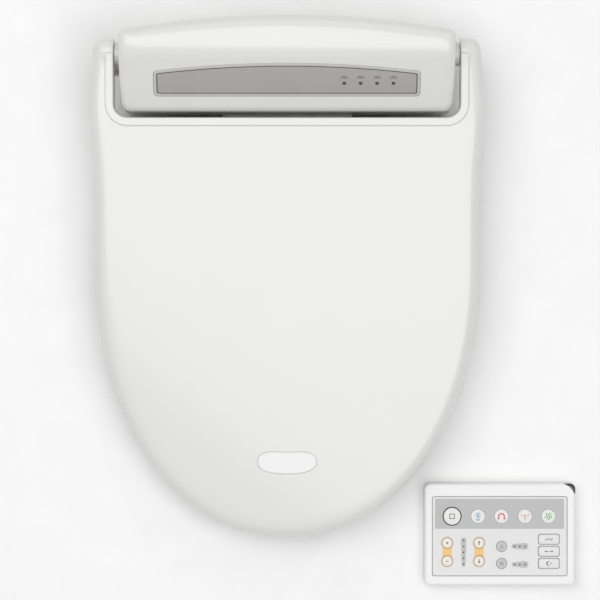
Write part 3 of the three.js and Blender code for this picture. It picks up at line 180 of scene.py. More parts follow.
# %% Edges of a plan
def turned_left(points):
    """Unit normals to the left of a closed row of points."""
    along = np.roll(points, -1, 0) - np.roll(points, 1, 0)
    along /= np.maximum(np.linalg.norm(along, axis=1, keepdims=True), 1e-9)
    return np.stack([-along[:, 1], along[:, 0]], 1)


def rounded_outline(corners, steps=8, spacing=8.0):
    """A closed outline with corners [x, y, radius] rounded, and its straights divided evenly."""
    pieces = []
    count = len(corners)
    for i, (x, y, radius) in enumerate(corners):
        here = np.array([x, y], float)
        back = np.array(corners[i - 1][:2], float) - here
        on = np.array(corners[(i + 1) % count][:2], float) - here
        back /= np.linalg.norm(back)
        on /= np.linalg.norm(on)
        half = math.acos(np.clip(back @ on, -1, 1)) / 2
        reach = radius / math.tan(half)
        centre = here + (back + on) / np.linalg.norm(back + on) * radius / math.sin(half)
        start = here + back * reach - centre
        sweep = math.pi - 2 * half
        side = math.copysign(1, back[0] * on[1] - back[1] * on[0]) * -1
        for k in range(steps + 1):
            a = side * sweep * k / steps
            spin = np.array([[math.cos(a), -math.sin(a)], [math.sin(a), math.cos(a)]])
            pieces.append(centre + spin @ start)
    return divided(pieces, spacing)


def box_corners(x0, x1, y0, y1, radius):
    """The four corners of an oblong, anticlockwise, with their radius."""
    return [(x0, y0, radius), (x1, y0, radius), (x1, y1, radius), (x0, y1, radius)]


def divided(points, spacing):
    """The same closed row, with long steps divided."""
    result = []
    for a, b in zip(points, points[1:] + points[:1]):
        parts = max(1, round(float(np.linalg.norm(b - a)) / spacing))
        result += [a + (b - a) * k / parts for k in range(parts)]
    return np.array(result)


def circle(x, y, radius, count=40):
    turn = np.linspace(0, 2 * math.pi, count, endpoint=False)
    return np.stack([x + radius * np.cos(turn), y + radius * np.sin(turn)], 1)


def rim(points, offsets, radius=0.0, spokes=None, hole=False):
    """An edge of a plan: rows of points at these distances into the material."""
    points = np.array(points, float)
    if hole:
        points = points[::-1]
    spokes = turned_left(points) if spokes is None else spokes
    return {"points": points, "spokes": spokes, "offsets": offsets, "radius": radius}


def rounding_steps(radius, count=7):
    """Distances from an edge that divide a quarter round evenly."""
    return [radius * (1 - math.cos(math.pi / 2 * k / count)) for k in range(count + 1)]


def round_drop(distance, radius):
    """How far a rounded edge lies below its surface, at a distance in from the edge."""
    inside = np.clip(np.asarray(radius - distance, float), 0, None)
    return radius - np.sqrt(np.maximum(radius ** 2 - inside ** 2, 0))


def within(polygon, places):
    """Which places lie inside a closed polygon."""
    x, y = places[:, 0:1], places[:, 1:2]
    x0, y0 = polygon[:, 0], polygon[:, 1]
    x1, y1 = np.roll(x0, -1), np.roll(y0, -1)
    spans = (y0 > y) != (y1 > y)
    rise = np.where(y1 == y0, 1e-12, y1 - y0)
    return (spans & (x < (x1 - x0) * (y - y0) / rise + x0)).sum(1) % 2 == 1


def lay_plan(rims, net_x, net_y, creases=()):
    """Rows along the rims and creases, and a net of triangles between them."""
    points, drops, faces, rows = [], [], [], []
    for edge in [*rims, *creases]:
        first = len(points)
        count = len(edge["points"])
        for offset in edge["offsets"]:
            points += list(edge["points"] + edge["spokes"] * offset)
            drops += list(np.broadcast_to(round_drop(offset, edge["radius"]), count))
        for row in range(len(edge["offsets"]) - 1):
            for i in range(count):
                a = first + row * count + i
                b = first + row * count + (i + 1) % count
                faces.append((a, b, b + count, a + count))
        last = first + (len(edge["offsets"]) - 1) * count
        rows.append((range(first, first + count), range(last, last + count)))
    laid = np.array(points)
    inner = [laid[list(row[1])] for row in rows[:len(rims)]]
    strips = [(laid[list(row[0])], laid[list(row[1])]) for row in rows[len(rims):]]
    net = np.array([(x, y) for x in net_x for y in net_y], float)

    def free(places):
        keep = within(inner[0], places)
        for hole in inner[1:]:
            keep &= ~within(hole, places)
        for outer, core in strips:
            keep &= ~(within(outer, places) & ~within(core, places))
        return keep

    net = net[free(net)]
    fences = np.concatenate(inner + [row for strip in strips for row in strip])
    clear = min(np.diff(net_x).min(), np.diff(net_y).min()) * 0.35
    apart = np.array([np.hypot(*(fences - place).T).min() > clear for place in net], bool)
    net = net[apart] if len(net) else net
    fenced = [row[1] for row in rows[:len(rims)]] + [r for row in rows[len(rims):] for r in row]
    source = [i for row in fenced for i in row] + list(range(len(points), len(points) + len(net)))
    everything = np.concatenate([laid, net]) if len(net) else laid
    edges, start = [], 0
    for row in fenced:
        edges += [(start + k, start + (k + 1) % len(row)) for k in range(len(row))]
        start += len(row)
    flat = [Vector(everything[i]) for i in source]
    places, _, triangles, origin, _, _ = delaunay_2d_cdt(flat, edges, [], 0, 1e-5)
    centres = np.array([np.mean([places[i] for i in t], 0) for t in triangles])
    for triangle, keep in zip(triangles, free(centres)):
        ids = [source[origin[i][0]] for i in triangle if origin[i]]
        if keep and len(set(ids)) == 3:
            a, b, c = (everything[i] for i in ids)
            turn = (b[0] - a[0]) * (c[1] - a[1]) - (b[1] - a[1]) * (c[0] - a[0])
            faces.append(tuple(ids) if turn > 0 else tuple(ids[::-1]))
    return {
        "at": everything,
        "drop": np.concatenate([drops, np.zeros(len(net))]),
        "faces": faces,
        "rims": [(list(rows[k][0]), rims[k]) for k in range(len(rims))],
        "offsets": offsets_of(rims, creases, len(everything)),
    }


def offsets_of(rims, creases, total):
    """For each point: the spoke it lies on, its distance along it, and the longest one."""
    spoke, along, longest = np.zeros((total, 2)), np.zeros(total), np.ones(total)
    i = 0
    for k, edge in enumerate([*rims, *creases]):
        count = len(edge["points"])
        for offset in edge["offsets"]:
            if k < len(rims):
                spoke[i:i + count] = edge["spokes"]
                along[i:i + count] = offset
                longest[i:i + count] = edge["offsets"][-1]
            i += count
    return spoke, along, longest


print("a 10 mm round has rows at", [round(d, 2) for d in rounding_steps(10)])

# %% [markdown]
# A moulded shell has two sides and a rim. The inner side repeats the outer one's net, moved in by
# the wall, so the wall is even and the mesh closes without a boolean.

# %% Shells and meshes
def mesh_object(name, vertices, faces, materials, slots=None, sharp_degrees=38):
    """A mesh object in metres from millimetres, with doubles merged and smooth shading."""
    mesh = bpy.data.meshes.new(name)
    mesh.from_pydata([Vector(v) * MM for v in vertices], [], faces)
    for material in materials:
        mesh.materials.append(material)
    if slots is not None:
        mesh.polygons.foreach_set("material_index", slots)
    shape = bmesh.new()
    shape.from_mesh(mesh)
    bmesh.ops.remove_doubles(shape, verts=shape.verts, dist=0.002 * MM)
    bmesh.ops.dissolve_degenerate(shape, edges=shape.edges, dist=0.001 * MM)
    for face in shape.faces:
        face.smooth = True
    shape.to_mesh(mesh)
    shape.free()
    mesh.set_sharp_from_angle(angle=math.radians(sharp_degrees))
    thing = bpy.data.objects.new(name, mesh)
    bpy.context.scene.collection.objects.link(thing)
    return thing


def settle(piece, body, slot, *nodes):
    """Rides the piece on its body and lets it stand for CAD nodes, which it hides; slot is not used."""
    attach(piece, body)
    if nodes:
        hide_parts(*nodes)
    print(piece.name, len(piece.data.polygons), "faces")
    return piece


def turned_over(faces, count):
    """The same faces for a second side, which looks the other way."""
    return [tuple(i + count for i in face[::-1]) for face in faces]


# Millimetres of shift after which the inner side would have no rounding left.
INNER_EASE = 100


def make_shell(name, plan, top, under, foot, wall, material, bead=0.6):
    """A shell: top(x, y, drop), under(x, y, drop), and foot(x, y), the height of its lower rim."""
    at = plan["at"]
    spoke, along, longest = plan["offsets"]
    shift = wall * (1 - along / longest)
    shift[np.linalg.norm(spoke, axis=1) == 0] = 0
    inner = at + spoke * shift[:, None]
    count = len(at)
    high = top(at[:, 0], at[:, 1], plan["drop"])
    low = under(inner[:, 0], inner[:, 1], plan["drop"] * (1 - shift / INNER_EASE))
    vertices = [(x, y, z) for (x, y), z in zip(at, high)]
    vertices += [(x, y, z) for (x, y), z in zip(inner, low)]
    faces = plan["faces"] + turned_over(plan["faces"], count)
    for ids, edge in plan["rims"]:
        points, spokes = edge["points"], edge["spokes"]
        level = foot(points[:, 0], points[:, 1])
        rows = [ids]
        turns = [0, 30, 60, 90]
        for degrees in turns:
            a = math.radians(degrees)
            place = points + spokes * bead * (1 - math.cos(a))
            rows.append(row_of(vertices, place, level + bead * (1 - math.sin(a))))
        for degrees in turns[::-1]:
            a = math.radians(degrees)
            place = points + spokes * (wall - bead * (1 - math.cos(a)))
            rows.append(row_of(vertices, place, level + bead * (1 - math.sin(a))))
        rows.append([i + count for i in ids])
        faces += bridged(rows)
    return mesh_object(name, vertices, faces, [material])


def row_of(vertices, places, heights):
    start = len(vertices)
    vertices += [(x, y, z) for (x, y), z in zip(places, heights)]
    return list(range(start, start + len(places)))


def bridged(rows):
    """Quads down from row to row, their faces outward from an anticlockwise plan."""
    faces = []
    for upper, lower in zip(rows, rows[1:]):
        for i in range(len(upper)):
            k = (i + 1) % len(upper)
            faces.append((upper[k], upper[i], lower[i], lower[k]))
    return faces


def stack(levels):
    """Outlines of equal length one over another, given from the top as (points, z), and capped."""
    vertices = []
    rows = [row_of(vertices, points, np.broadcast_to(z, len(points))) for points, z in levels]
    faces = bridged(rows) + [tuple(rows[0]), tuple(rows[-1][::-1])]
    return vertices, faces


def inset(points, distance):
    return points + turned_left(points) * distance


def pebble(points, low, high, over=0.5, under=0.3, steps=4):
    """A solid with this outline, its upper and lower edges rounded."""
    turns = [math.pi / 2 * k / steps for k in range(steps + 1)]
    levels = [(inset(points, over * (1 - math.sin(a))), high - over * (1 - math.cos(a)))
              for a in turns]
    levels += [(inset(points, under * (1 - math.cos(a))), low + under * (1 - math.sin(a)))
               for a in turns]
    return stack(levels)


def gathered(name, solids, sharp_degrees=38):
    """One object from several closed solids, each given as ((vertices, faces), material)."""
    vertices, faces, slots, materials = [], [], [], []
    for (points, polygons), material in solids:
        if material not in materials:
            materials.append(material)
        start = len(vertices)
        vertices += list(points)
        faces += [tuple(i + start for i in face) for face in polygons]
        slots += [materials.index(material)] * len(polygons)
    return mesh_object(name, vertices, faces, materials, slots, sharp_degrees)


disc = stack([(circle(0, 0, 10), 2), (circle(0, 0, 10), 0)])
print("a disc as a stack:", len(disc[0]), "points,", len(disc[1]), "faces")

# %% [markdown]
# ## The lid
#
# The lid is one large glossy shell. Seen from above it is a long egg with two arms that reach back
# round the control box. Its edge turns down in a 12 mm round, a low lip runs round the cut-out, and
# a shallow bean-shaped recess near the nose holds a badge. Its height is a formula, the same one
# the frame was built from, so the detailed shell lies exactly where the plain one was.

# %% Sizes of the seat and lid
REAR, LENGTH, HALF = 51.0, 524.0, 193.0
NOSE_Y = REAR - LENGTH
HIP_BULGE, HIP_Y, HIP_SPREAD, WIDEST_Y, NOSE_POWER = 5.0, -37.0, 50.0, -200.0, 2.1
AXIS_Y, AXIS_Z, KNUCKLE, CORNER = 15.0, 86.0, 16.0, 13.0
LID_NOSE, LID_SWELL, LID_CROWN, LID_EDGE, LID_WALL = 64.0, 4.0, 6.0, 12.0, 2.8
LIP_WIDTH, LIP_HEIGHT, FLANGE_LOW = 8.0, 2.5, 70.0
SEAT_NOSE, SEAT_REAR, SEAT_EDGE, SEAT_WALL = 45.0, 58.0, 11.0, 3.0
SEAT_INSET, SEAT_BACK, SEAT_UNDER = 3.0, -52.0, 12.0
CUT_HALF, CUT_FRONT, CUT_CORNER = 173.7, -49.7, 14.0
LID_REAR = AXIS_Z + KNUCKLE
LID_REAR_Y = AXIS_Y + KNUCKLE


def share(y):
    return np.clip((CUT_FRONT - y) / (CUT_FRONT - NOSE_Y), 0, 1)


def lid_top(x, y):
    s = share(y)
    ridge = LID_REAR + (LID_NOSE - LID_REAR) * s + LID_SWELL * 4 * s * (1 - s)
    return ridge - LID_CROWN * s * (x / HALF) ** 2


def seat_top(y):
    return SEAT_REAR + (SEAT_NOSE - SEAT_REAR) * share(y)


def side_half(y):
    return HALF + HIP_BULGE * np.exp(-(((y - HIP_Y) / HIP_SPREAD) ** 2))


def right_side(last_y, nose_steps=56, side_steps=44):
    """The right-hand outline from the tip of the nose back to last_y."""
    turn = np.linspace(0, math.pi / 2, nose_steps + 1)
    x = HALF * np.sin(turn) ** (2 / NOSE_POWER)
    y = WIDEST_Y - (WIDEST_Y - NOSE_Y) * np.cos(turn) ** (2 / NOSE_POWER)
    ys = np.linspace(WIDEST_Y, last_y, side_steps + 1)[1:]
    return np.concatenate([np.stack([x, y], 1), np.stack([side_half(ys), ys], 1)])


def both_sides(right, spokes=None):
    """A closed outline from its right half, which starts and ends on the middle line."""
    flip = np.array([-1, 1])
    points = np.concatenate([right, right[1:-1][::-1] * flip])
    if spokes is None:
        return points
    return points, np.concatenate([spokes, spokes[1:-1][::-1] * flip])


print("lid", 2 * HALF, "by", LENGTH, "mm, its nose", round(float(lid_top(0, NOSE_Y)), 1), "mm high")

# %% The lid's plan
def lid_edge():
    """Half of the lid's edge with its spokes, from the nose round the arm to the cut-out's middle."""
    corner_y = LID_REAR_Y - CORNER
    side = right_side(corner_y)
    centre = np.array([side[-1, 0] - CORNER, corner_y])
    turn = np.linspace(0, math.pi / 2, 11)[1:]
    corner = centre + CORNER * np.stack([np.cos(turn), np.sin(turn)], 1)
    back_x = np.linspace(centre[0], CUT_HALF, 7)[1:]
    back = np.stack([back_x, np.full(len(back_x), LID_REAR_Y)], 1)
    straight_end = CUT_FRONT + CUT_CORNER
    lip_end = AXIS_Y + np.array([2, 1.2, 0.8, 0.5, 0.2, -0.1, -0.4, -0.7, -1.2, -2])
    cut_y = np.concatenate([np.linspace(LID_REAR_Y, AXIS_Y + 3, 9)[1:], lip_end,
                            np.linspace(AXIS_Y - 5, straight_end, 12)])
    cut = np.stack([np.full(len(cut_y), CUT_HALF), cut_y], 1)
    bend_at = np.array([CUT_HALF - CUT_CORNER, straight_end])
    turn = np.linspace(0, -math.pi / 2, 15)[1:]
    bend = bend_at + CUT_CORNER * np.stack([np.cos(turn), np.sin(turn)], 1)
    front_x = np.linspace(bend_at[0], 0, 24)[1:]
    front = np.stack([front_x, np.full(len(front_x), CUT_FRONT)], 1)
    points = np.concatenate([side, corner, back, cut, bend, front])
    mirrored = both_sides(points)
    spokes = turned_left(mirrored)[:len(points)]
    spokes[0], spokes[-1] = (0, 1), (0, -1)
    # Near the arm's square corner the spokes lean, so that the rows meet in a mitre.
    first = len(side) + len(corner)
    reach = centre[0] - CUT_HALF
    for i in range(first, first + len(back)):
        spokes[i] = (1 - (points[i, 0] - CUT_HALF) / reach, -1)
    lean = LID_REAR_Y - AXIS_Y - 3
    for i in range(first + len(back), first + len(back) + 9):
        spokes[i] = (1, -max(0, 1 - (LID_REAR_Y - points[i, 1]) / lean))
    narrow = np.interp(points[:, 1], [5, 14, LID_REAR_Y], [1, 0.68, 0.66])
    narrow[:len(side) - 12] = 1
    return both_sides(points, spokes * narrow[:, None])


def distance_to(line, places):
    """Shortest distance from each place to an open line of points."""
    best = np.full(len(places), 1e9)
    for a, b in zip(line, line[1:]):
        span = b - a
        t = np.clip(((places - a) @ span) / max(span @ span, 1e-12), 0, 1)
        best = np.minimum(best, np.hypot(*(places - a - t[:, None] * span).T))
    return best


def cut_distance(x, y):
    """Distance outward from the rounded cut-out."""
    across = np.abs(x) - (CUT_HALF - CUT_CORNER)
    ahead = (CUT_FRONT + CUT_CORNER) - y
    both = np.hypot(np.maximum(across, 0), np.maximum(ahead, 0))
    return both + np.minimum(np.maximum(across, ahead), 0) - CUT_CORNER


def step(value):
    value = np.clip(value, 0, 1)
    return value * value * (3 - 2 * value)


BADGE_Y, BADGE_HALF, BADGE_DEEP = -395.0, (30.0, 11.5), 1.1


def bean(shrink, count=88):
    """The badge's outline: an oval with a slight dip in its upper edge."""
    half_x, half_y = BADGE_HALF[0] - shrink, BADGE_HALF[1] - shrink
    turn = np.linspace(0, 2 * math.pi, count, endpoint=False)
    power = 2 / 2.7
    x = half_x * np.sign(np.cos(turn)) * np.abs(np.cos(turn)) ** power
    y = half_y * np.sign(np.sin(turn)) * np.abs(np.sin(turn)) ** power
    dip = np.where(np.sin(turn) > 0, 0.16 * half_y * np.exp(-((x / (0.5 * half_x)) ** 2)), 0)
    belly = np.where(np.sin(turn) < 0, 0.12 * half_y * (1 - (x / half_x) ** 2), 0)
    return np.stack([x, BADGE_Y + y - dip - belly], 1)


LID_ROWS = [0, .1, .35, .7, 1.2, 1.8, 2.6, 3.6, 4.8, 6.2, 7, 7.4, 7.8, 8.2, 8.6, 9.4]
edge_points, edge_spokes = lid_edge()
half_count = len(edge_points) // 2
right_line = edge_points[:half_count + 1]
right_line = right_line[cut_distance(right_line[:, 0], right_line[:, 1]) > 0.2]
right_line = np.concatenate([right_line, [[CUT_HALF, LID_REAR_Y]]])
lid_line = np.concatenate([(right_line * [-1, 1])[::-1], right_line[1:]])
badge_crease = rim(bean(0), [-0.12, 0, 0.12, 0.35])
net_x = np.linspace(-192, 192, 65)
net_y = np.concatenate([np.linspace(NOSE_Y + 4, -62, 66), np.linspace(-58, 28, 32)])
lid_plan = lay_plan([rim(edge_points, LID_ROWS, spokes=edge_spokes)], net_x, net_y, [badge_crease])
print("lid plan", len(lid_plan["at"]), "points")

# %% The lid's heights
def edge_of(x, y):
    return distance_to(lid_line, np.stack([x, y], 1))


def lid_surface(x, y, _drop):
    edge = edge_of(x, y)
    cut = cut_distance(x, y)
    band = 0.5 * step((-40 - y) / 60) * np.maximum(0, 1 - edge / 19) ** 2
    lip = LIP_HEIGHT * step((LIP_WIDTH + 0.7 - cut) / 1.4) * step((AXIS_Y + 0.7 - y) / 1.4)
    lip -= round_drop(np.clip(cut, 0, None), 1.2)
    badge = BADGE_DEEP * in_badge(x, y)
    return lid_top(x, y) - round_drop(edge, LID_EDGE) - band + lip - badge


def in_badge(x, y):
    """1 inside the badge's recess, 0 outside, and a steep wall between."""
    places = np.stack([x, y], 1)
    near = (np.abs(x) < 36) & (np.abs(y - BADGE_Y) < 16)
    depth = np.zeros(len(x))
    loop = bean(0, 352)
    closed = np.concatenate([loop, loop[:1]])
    signed = distance_to(closed, places[near]) * np.where(within(loop, places[near]), 1, -1)
    depth[near] = step((signed + 0.12) / 0.24)
    return depth


def lid_under(x, y, _drop):
    edge = np.maximum(edge_of(x, y) - LID_WALL, 0)
    return lid_top(x, y) - LID_WALL - round_drop(edge, LID_EDGE - LID_WALL)


def lid_foot(x, y):
    """The lower edge: just over the ring, then up the arms, and lower along the flange."""
    side = np.interp(y, [CUT_FRONT, 5, 20, LID_REAR_Y], [seat_top(CUT_FRONT) + 1.2, 66, 84, 85])
    side = np.where(y < CUT_FRONT, seat_top(y) + 1.2, side)
    turn = np.clip(y - AXIS_Y, 0, KNUCKLE - 0.05)
    flange = np.where(y > AXIS_Y, AXIS_Z - np.sqrt(KNUCKLE ** 2 - turn ** 2), FLANGE_LOW)
    flange = np.minimum(flange, 85)
    return np.where(cut_distance(x, y) < 0.1, flange, side)


lid = make_shell("lid_shell_moulded", lid_plan, lid_surface, lid_under, lid_foot, LID_WALL, white_gloss)
settle(lid, "lid", "white_gloss", "lid_shell")

# %% [markdown]
# The badge is a small moulding pressed into its recess: a bright rounded rim round a slightly
# sunken, duller field. It carries no mark.

# %% The badge
def lid_level(points, below):
    return lid_top(points[:, 0], points[:, 1]) - below


rim_rows = [(0.35, 1.0), (0.35, 0.25), (0.5, 0.0), (0.8, -0.12), (1.2, -0.12), (1.5, 0.0),
            (1.75, 0.22)]
badge_levels = [(bean(d), lid_level(bean(d), drop)) for d, drop in rim_rows[::-1]]
badge = gathered("lid_badge_moulded", [(stack(badge_levels), white_satin)])
settle(badge, "lid", "white_matt", "lid_badge")

# %% [markdown]
# ## The control box
#
# The cover is a second shell over the same kind of plan. In side view it is a front slope that
# carries the panel, a broad crest and a flat top. Its ends and its rear edge turn down in rounds of
# different sizes, so the rounding's radius is weighed by which edge is nearest.

# %% Sizes of the control box
BOX_HALF, BOX_FRONT, BOX_HEIGHT, BOX_REAR_RADIUS = 167.0, -43.0, 140.0, 930.0
FRONT_CORNER, REAR_CORNER, BOX_WALL = 10.0, 8.0, 3.2
SLOPE_FOOT, CREST_Y, CREST_RADIUS, SPLIT = 97.0, 15.0, 34.0, 49.3
SLOPE = (BOX_HEIGHT - SLOPE_FOOT) / (CREST_Y - BOX_FRONT)
TILT = math.atan(SLOPE)
ROUND_FRONT, ROUND_END, ROUND_REAR = 5.0, 9.0, 14.0
REAR_CENTRE = REAR - BOX_REAR_RADIUS


def box_outline():
    """The box in plan, anticlockwise from the middle of its front."""
    corner_x = BOX_HALF - REAR_CORNER
    corner_y = REAR_CENTRE + math.sqrt((BOX_REAR_RADIUS - REAR_CORNER) ** 2 - corner_x ** 2)
    lean = math.atan2(corner_y - REAR_CENTRE, corner_x)
    front_x = np.linspace(0, BOX_HALF - FRONT_CORNER, 22)
    side_y = np.linspace(BOX_FRONT + FRONT_CORNER, corner_y, 12)[1:]
    rear = np.linspace(lean, math.pi / 2, 26)[1:]
    front_turn = np.linspace(-math.pi / 2, 0, 12)[1:]

    def arc(x, y, radius, turn):
        return np.stack([x + radius * np.cos(turn), y + radius * np.sin(turn)], 1)

    return both_sides(np.concatenate([
        np.stack([front_x, np.full(22, BOX_FRONT)], 1),
        arc(BOX_HALF - FRONT_CORNER, BOX_FRONT + FRONT_CORNER, FRONT_CORNER, front_turn),
        np.stack([np.full(len(side_y), BOX_HALF), side_y], 1),
        arc(corner_x, corner_y, REAR_CORNER, np.linspace(0, lean, 11)[1:]),
        arc(0, REAR_CENTRE, BOX_REAR_RADIUS, rear),
    ]))


def box_profile(y):
    """The side view's top: slope, crest round, flat."""
    reach = CREST_RADIUS * math.tan(TILT / 2)
    start, end = CREST_Y - reach * math.cos(TILT), CREST_Y + reach
    slope = SLOPE_FOOT + SLOPE * (y - BOX_FRONT)
    turn = np.clip(end - y, 0, end - start)
    crest = BOX_HEIGHT - CREST_RADIUS + np.sqrt(CREST_RADIUS ** 2 - turn ** 2)
    return np.where(y < start, slope, crest)


box_points = box_outline()
box_line = np.concatenate([box_points, box_points[:1]])


def box_round(x, y, wall=0.0):
    """The fall of the box's rounded edges."""
    edge = np.maximum(distance_to(box_line, np.stack([x, y], 1)) - wall, 0)
    rear_y = REAR_CENTRE + np.sqrt(BOX_REAR_RADIUS ** 2 - x ** 2)
    weights = [1 / (BOX_HALF - np.abs(x) + 1) ** 2, 1 / (rear_y - y + 1) ** 2, 1 / (y - BOX_FRONT + 1) ** 2]
    radii = [ROUND_END, ROUND_REAR, ROUND_FRONT]
    radius = sum(r * w for r, w in zip(radii, weights)) / sum(weights)
    return round_drop(edge, np.maximum(radius - wall, 1))


PANEL_HALF, PANEL_FOOT, PANEL_HIGH, PANEL_ARCH = 132.5, 18.0, 29.6, 8.7
PANEL_RIM, PANEL_CORNER, PANEL_DEEP = 2.6, 4.0, 1.7
PANEL_Y = BOX_FRONT + PANEL_FOOT * math.cos(TILT)
PANEL_Z = SLOPE_FOOT + SLOPE * (PANEL_Y - BOX_FRONT)


def panel_outline(shrink, arch_steps=40, foot_steps=24, corner_steps=6):
    """The panel on its slope: straight foot, arched head."""
    half, low, high = PANEL_HALF - shrink, shrink, PANEL_HIGH - shrink
    corner = max(0.6, PANEL_CORNER - shrink * 0.6)
    t = np.linspace(0, 1, arch_steps + 1)[1:-1]
    side = half - corner
    arch = np.stack([side * (1 - 2 * t), high + 4 * PANEL_ARCH * t * (1 - t)], 1)
    lean = math.atan2(4 * PANEL_ARCH, 2 * side)

    def bend(x, y, start, end):
        turn = np.linspace(start, end, corner_steps + 1)
        return np.stack([x + corner * np.cos(turn), y + corner * np.sin(turn)], 1)

    quarter = math.pi / 2
    foot = np.linspace(-side, side, foot_steps + 1)[1:-1]
    return np.concatenate([
        np.stack([foot, np.full(len(foot), low)], 1),
        bend(side, low + corner, -quarter, 0),
        bend(side, high - corner, 0, quarter - lean),
        arch,
        bend(-side, high - corner, quarter + lean, 2 * quarter),
        bend(-side, low + corner, 2 * quarter, 3 * quarter),
    ])


def on_plan(points):
    """Panel places seen from above."""
    return np.stack([points[:, 0], PANEL_Y + points[:, 1] * math.cos(TILT)], 1)


def onto_slope(solid):
    """A solid drawn flat on the panel, turned onto the slope."""
    turn = Matrix.Translation((0, PANEL_Y, PANEL_Z)) @ Matrix.Rotation(TILT, 4, "X")
    return [turn @ Vector(v) for v in solid[0]], solid[1]


def tube(rows):
    """A closed ring from rows of (points, z) that run round its section."""
    vertices = []
    ids = [row_of(vertices, points, np.broadcast_to(z, len(points))) for points, z in rows]
    return vertices, bridged(ids + ids[:1])


print("the slope leans", round(math.degrees(TILT), 1), "degrees")

# %% The cover
recess = on_plan(panel_outline(-0.35))
recess_line = np.concatenate([recess, recess[:1]])


def in_recess(x, y):
    places = np.stack([x, y], 1)
    signed = distance_to(recess_line, places) * np.where(within(recess, places), 1, -1)
    return step((signed + 0.1) / 0.2)


def cover_top(x, y, _drop):
    return box_profile(y) - box_round(x, y) - PANEL_DEEP * 1.25 * in_recess(x, y)


def cover_under(x, y, _drop):
    return box_profile(y) - BOX_WALL * 1.3 - box_round(x, y, BOX_WALL)


def eye(x0, x1, radius, bore, over=0.8):
    """A round eye along X about the hinge axis, with a bore for the pin."""
    turn = np.linspace(0, 2 * math.pi, 48, endpoint=False)

    def ring(r):
        return np.stack([AXIS_Y + r * np.cos(turn), AXIS_Z + r * np.sin(turn)], 1)

    soft = over * 0.3
    rows = [(ring(radius - over), x1), (ring(radius - soft), x1 - soft), (ring(radius), x1 - over),
            (ring(radius), x0 + over), (ring(radius - soft), x0 + soft), (ring(radius - over), x0),
            (ring(bore), x0), (ring(bore), x1)]
    vertices, faces = tube(rows)
    return [(z, x, y) for x, y, z in vertices], faces


COVER_ROWS = [0, .12, .4, .85, 1.5, 2.3, 3.3, 4.5, 6, 7.6]
cover_plan = lay_plan([rim(box_points, COVER_ROWS)], np.linspace(-160, 160, 41), np.linspace(-38, 46, 50),
                      [rim(recess, [-0.1, 0, 0.1, 0.4])])
cover = make_shell("top_cover_moulded", cover_plan, cover_top, cover_under,
                   lambda x, y: np.full(len(x), SPLIT), BOX_WALL, white_gloss)
settle(cover, "base", "white_gloss", "top_cover")

PIN_BORE, BOSS_RADIUS, BOSS_END = 5.3, 12.0, 173.3
bosses = [(eye(x0, x1, BOSS_RADIUS, PIN_BORE), white_gloss)
          for x0, x1 in [(BOX_HALF - 1, BOSS_END), (-BOSS_END, 1 - BOX_HALF)]]
settle(gathered("hinge_bosses", bosses), "base", "white_gloss")

# %% [markdown]
# The panel sits on the slope in its recess: a silver-grey frame, a printed acrylic field with a
# thin dark line round it, and four lamps. What repeats is made by Geometry Nodes: a row of small
# domes, its count, pitch and size named on the modifier. The same tree later makes the handset's
# level dots.

# %% A row of domes by Geometry Nodes
def dome_tree():
    tree = bpy.data.node_groups.new("row_of_domes", "GeometryNodeTree")
    sockets = [("Count", "NodeSocketInt"), ("Step", "NodeSocketVector"), ("Radius", "NodeSocketFloat"),
               ("Rise", "NodeSocketFloat"), ("Finish", "NodeSocketMaterial")]
    for name, kind in sockets:
        tree.interface.new_socket(name, in_out="INPUT", socket_type=kind)
    tree.interface.new_socket("Geometry", in_out="OUTPUT", socket_type="NodeSocketGeometry")
    given = add_node(tree, "NodeGroupInput").outputs
    line = add_node(tree, "GeometryNodeMeshLine", links={"Count": given["Count"], "Offset": given["Step"]})
    ball = add_node(tree, "GeometryNodeMeshUVSphere", {}, {"Radius": given["Radius"]}, Segments=24, Rings=12)
    flat = add_node(tree, "ShaderNodeCombineXYZ", links={"Z": given["Rise"]}, X=1.0, Y=1.0)
    row = add_node(tree, "GeometryNodeInstanceOnPoints",
                   links={"Points": line.outputs["Mesh"], "Instance": ball.outputs["Mesh"],
                          "Scale": flat.outputs["Vector"]})
    solid = add_node(tree, "GeometryNodeRealizeInstances", links={"Geometry": row.outputs["Instances"]})
    smooth = add_node(tree, "GeometryNodeSetShadeSmooth", links={"Geometry": solid.outputs["Geometry"]})
    painted = add_node(tree, "GeometryNodeSetMaterial",
                       links={"Geometry": smooth.outputs["Geometry"], "Material": given["Finish"]})
    add_node(tree, "NodeGroupOutput", links={"Geometry": painted.outputs["Geometry"]})
    return tree


row_of_domes = dome_tree()
print("the row has", len(row_of_domes.nodes), "nodes")


def dome_row(name, first, stride, count, radius, rise, material, turn=None):
    """A row of domes as a plain mesh, in place: rise is the dome's height over its radius."""
    maker = bpy.data.objects.new("row_maker", bpy.data.meshes.new("row_maker"))
    bpy.context.scene.collection.objects.link(maker)
    modifier = maker.modifiers.new("row", "NODES")
    modifier.node_group = row_of_domes
    values = {"Count": count, "Step": [s * MM for s in stride], "Radius": radius * MM, "Rise": rise,
              "Finish": material}
    for item in row_of_domes.interface.items_tree:
        if item.in_out == "INPUT":
            modifier[item.identifier] = values[item.name]
    bpy.context.view_layer.update()
    seen = maker.evaluated_get(bpy.context.evaluated_depsgraph_get())
    mesh = bpy.data.meshes.new_from_object(seen)
    bpy.data.objects.remove(maker)
    mesh.transform((turn or Matrix.Identity(4)) @ Matrix.Translation(Vector(first) * MM))
    thing = bpy.data.objects.new(name, mesh)
    bpy.context.scene.collection.objects.link(thing)
    return thing


# %% The panel
def panel_at(shrink, z):
    return panel_outline(shrink), z


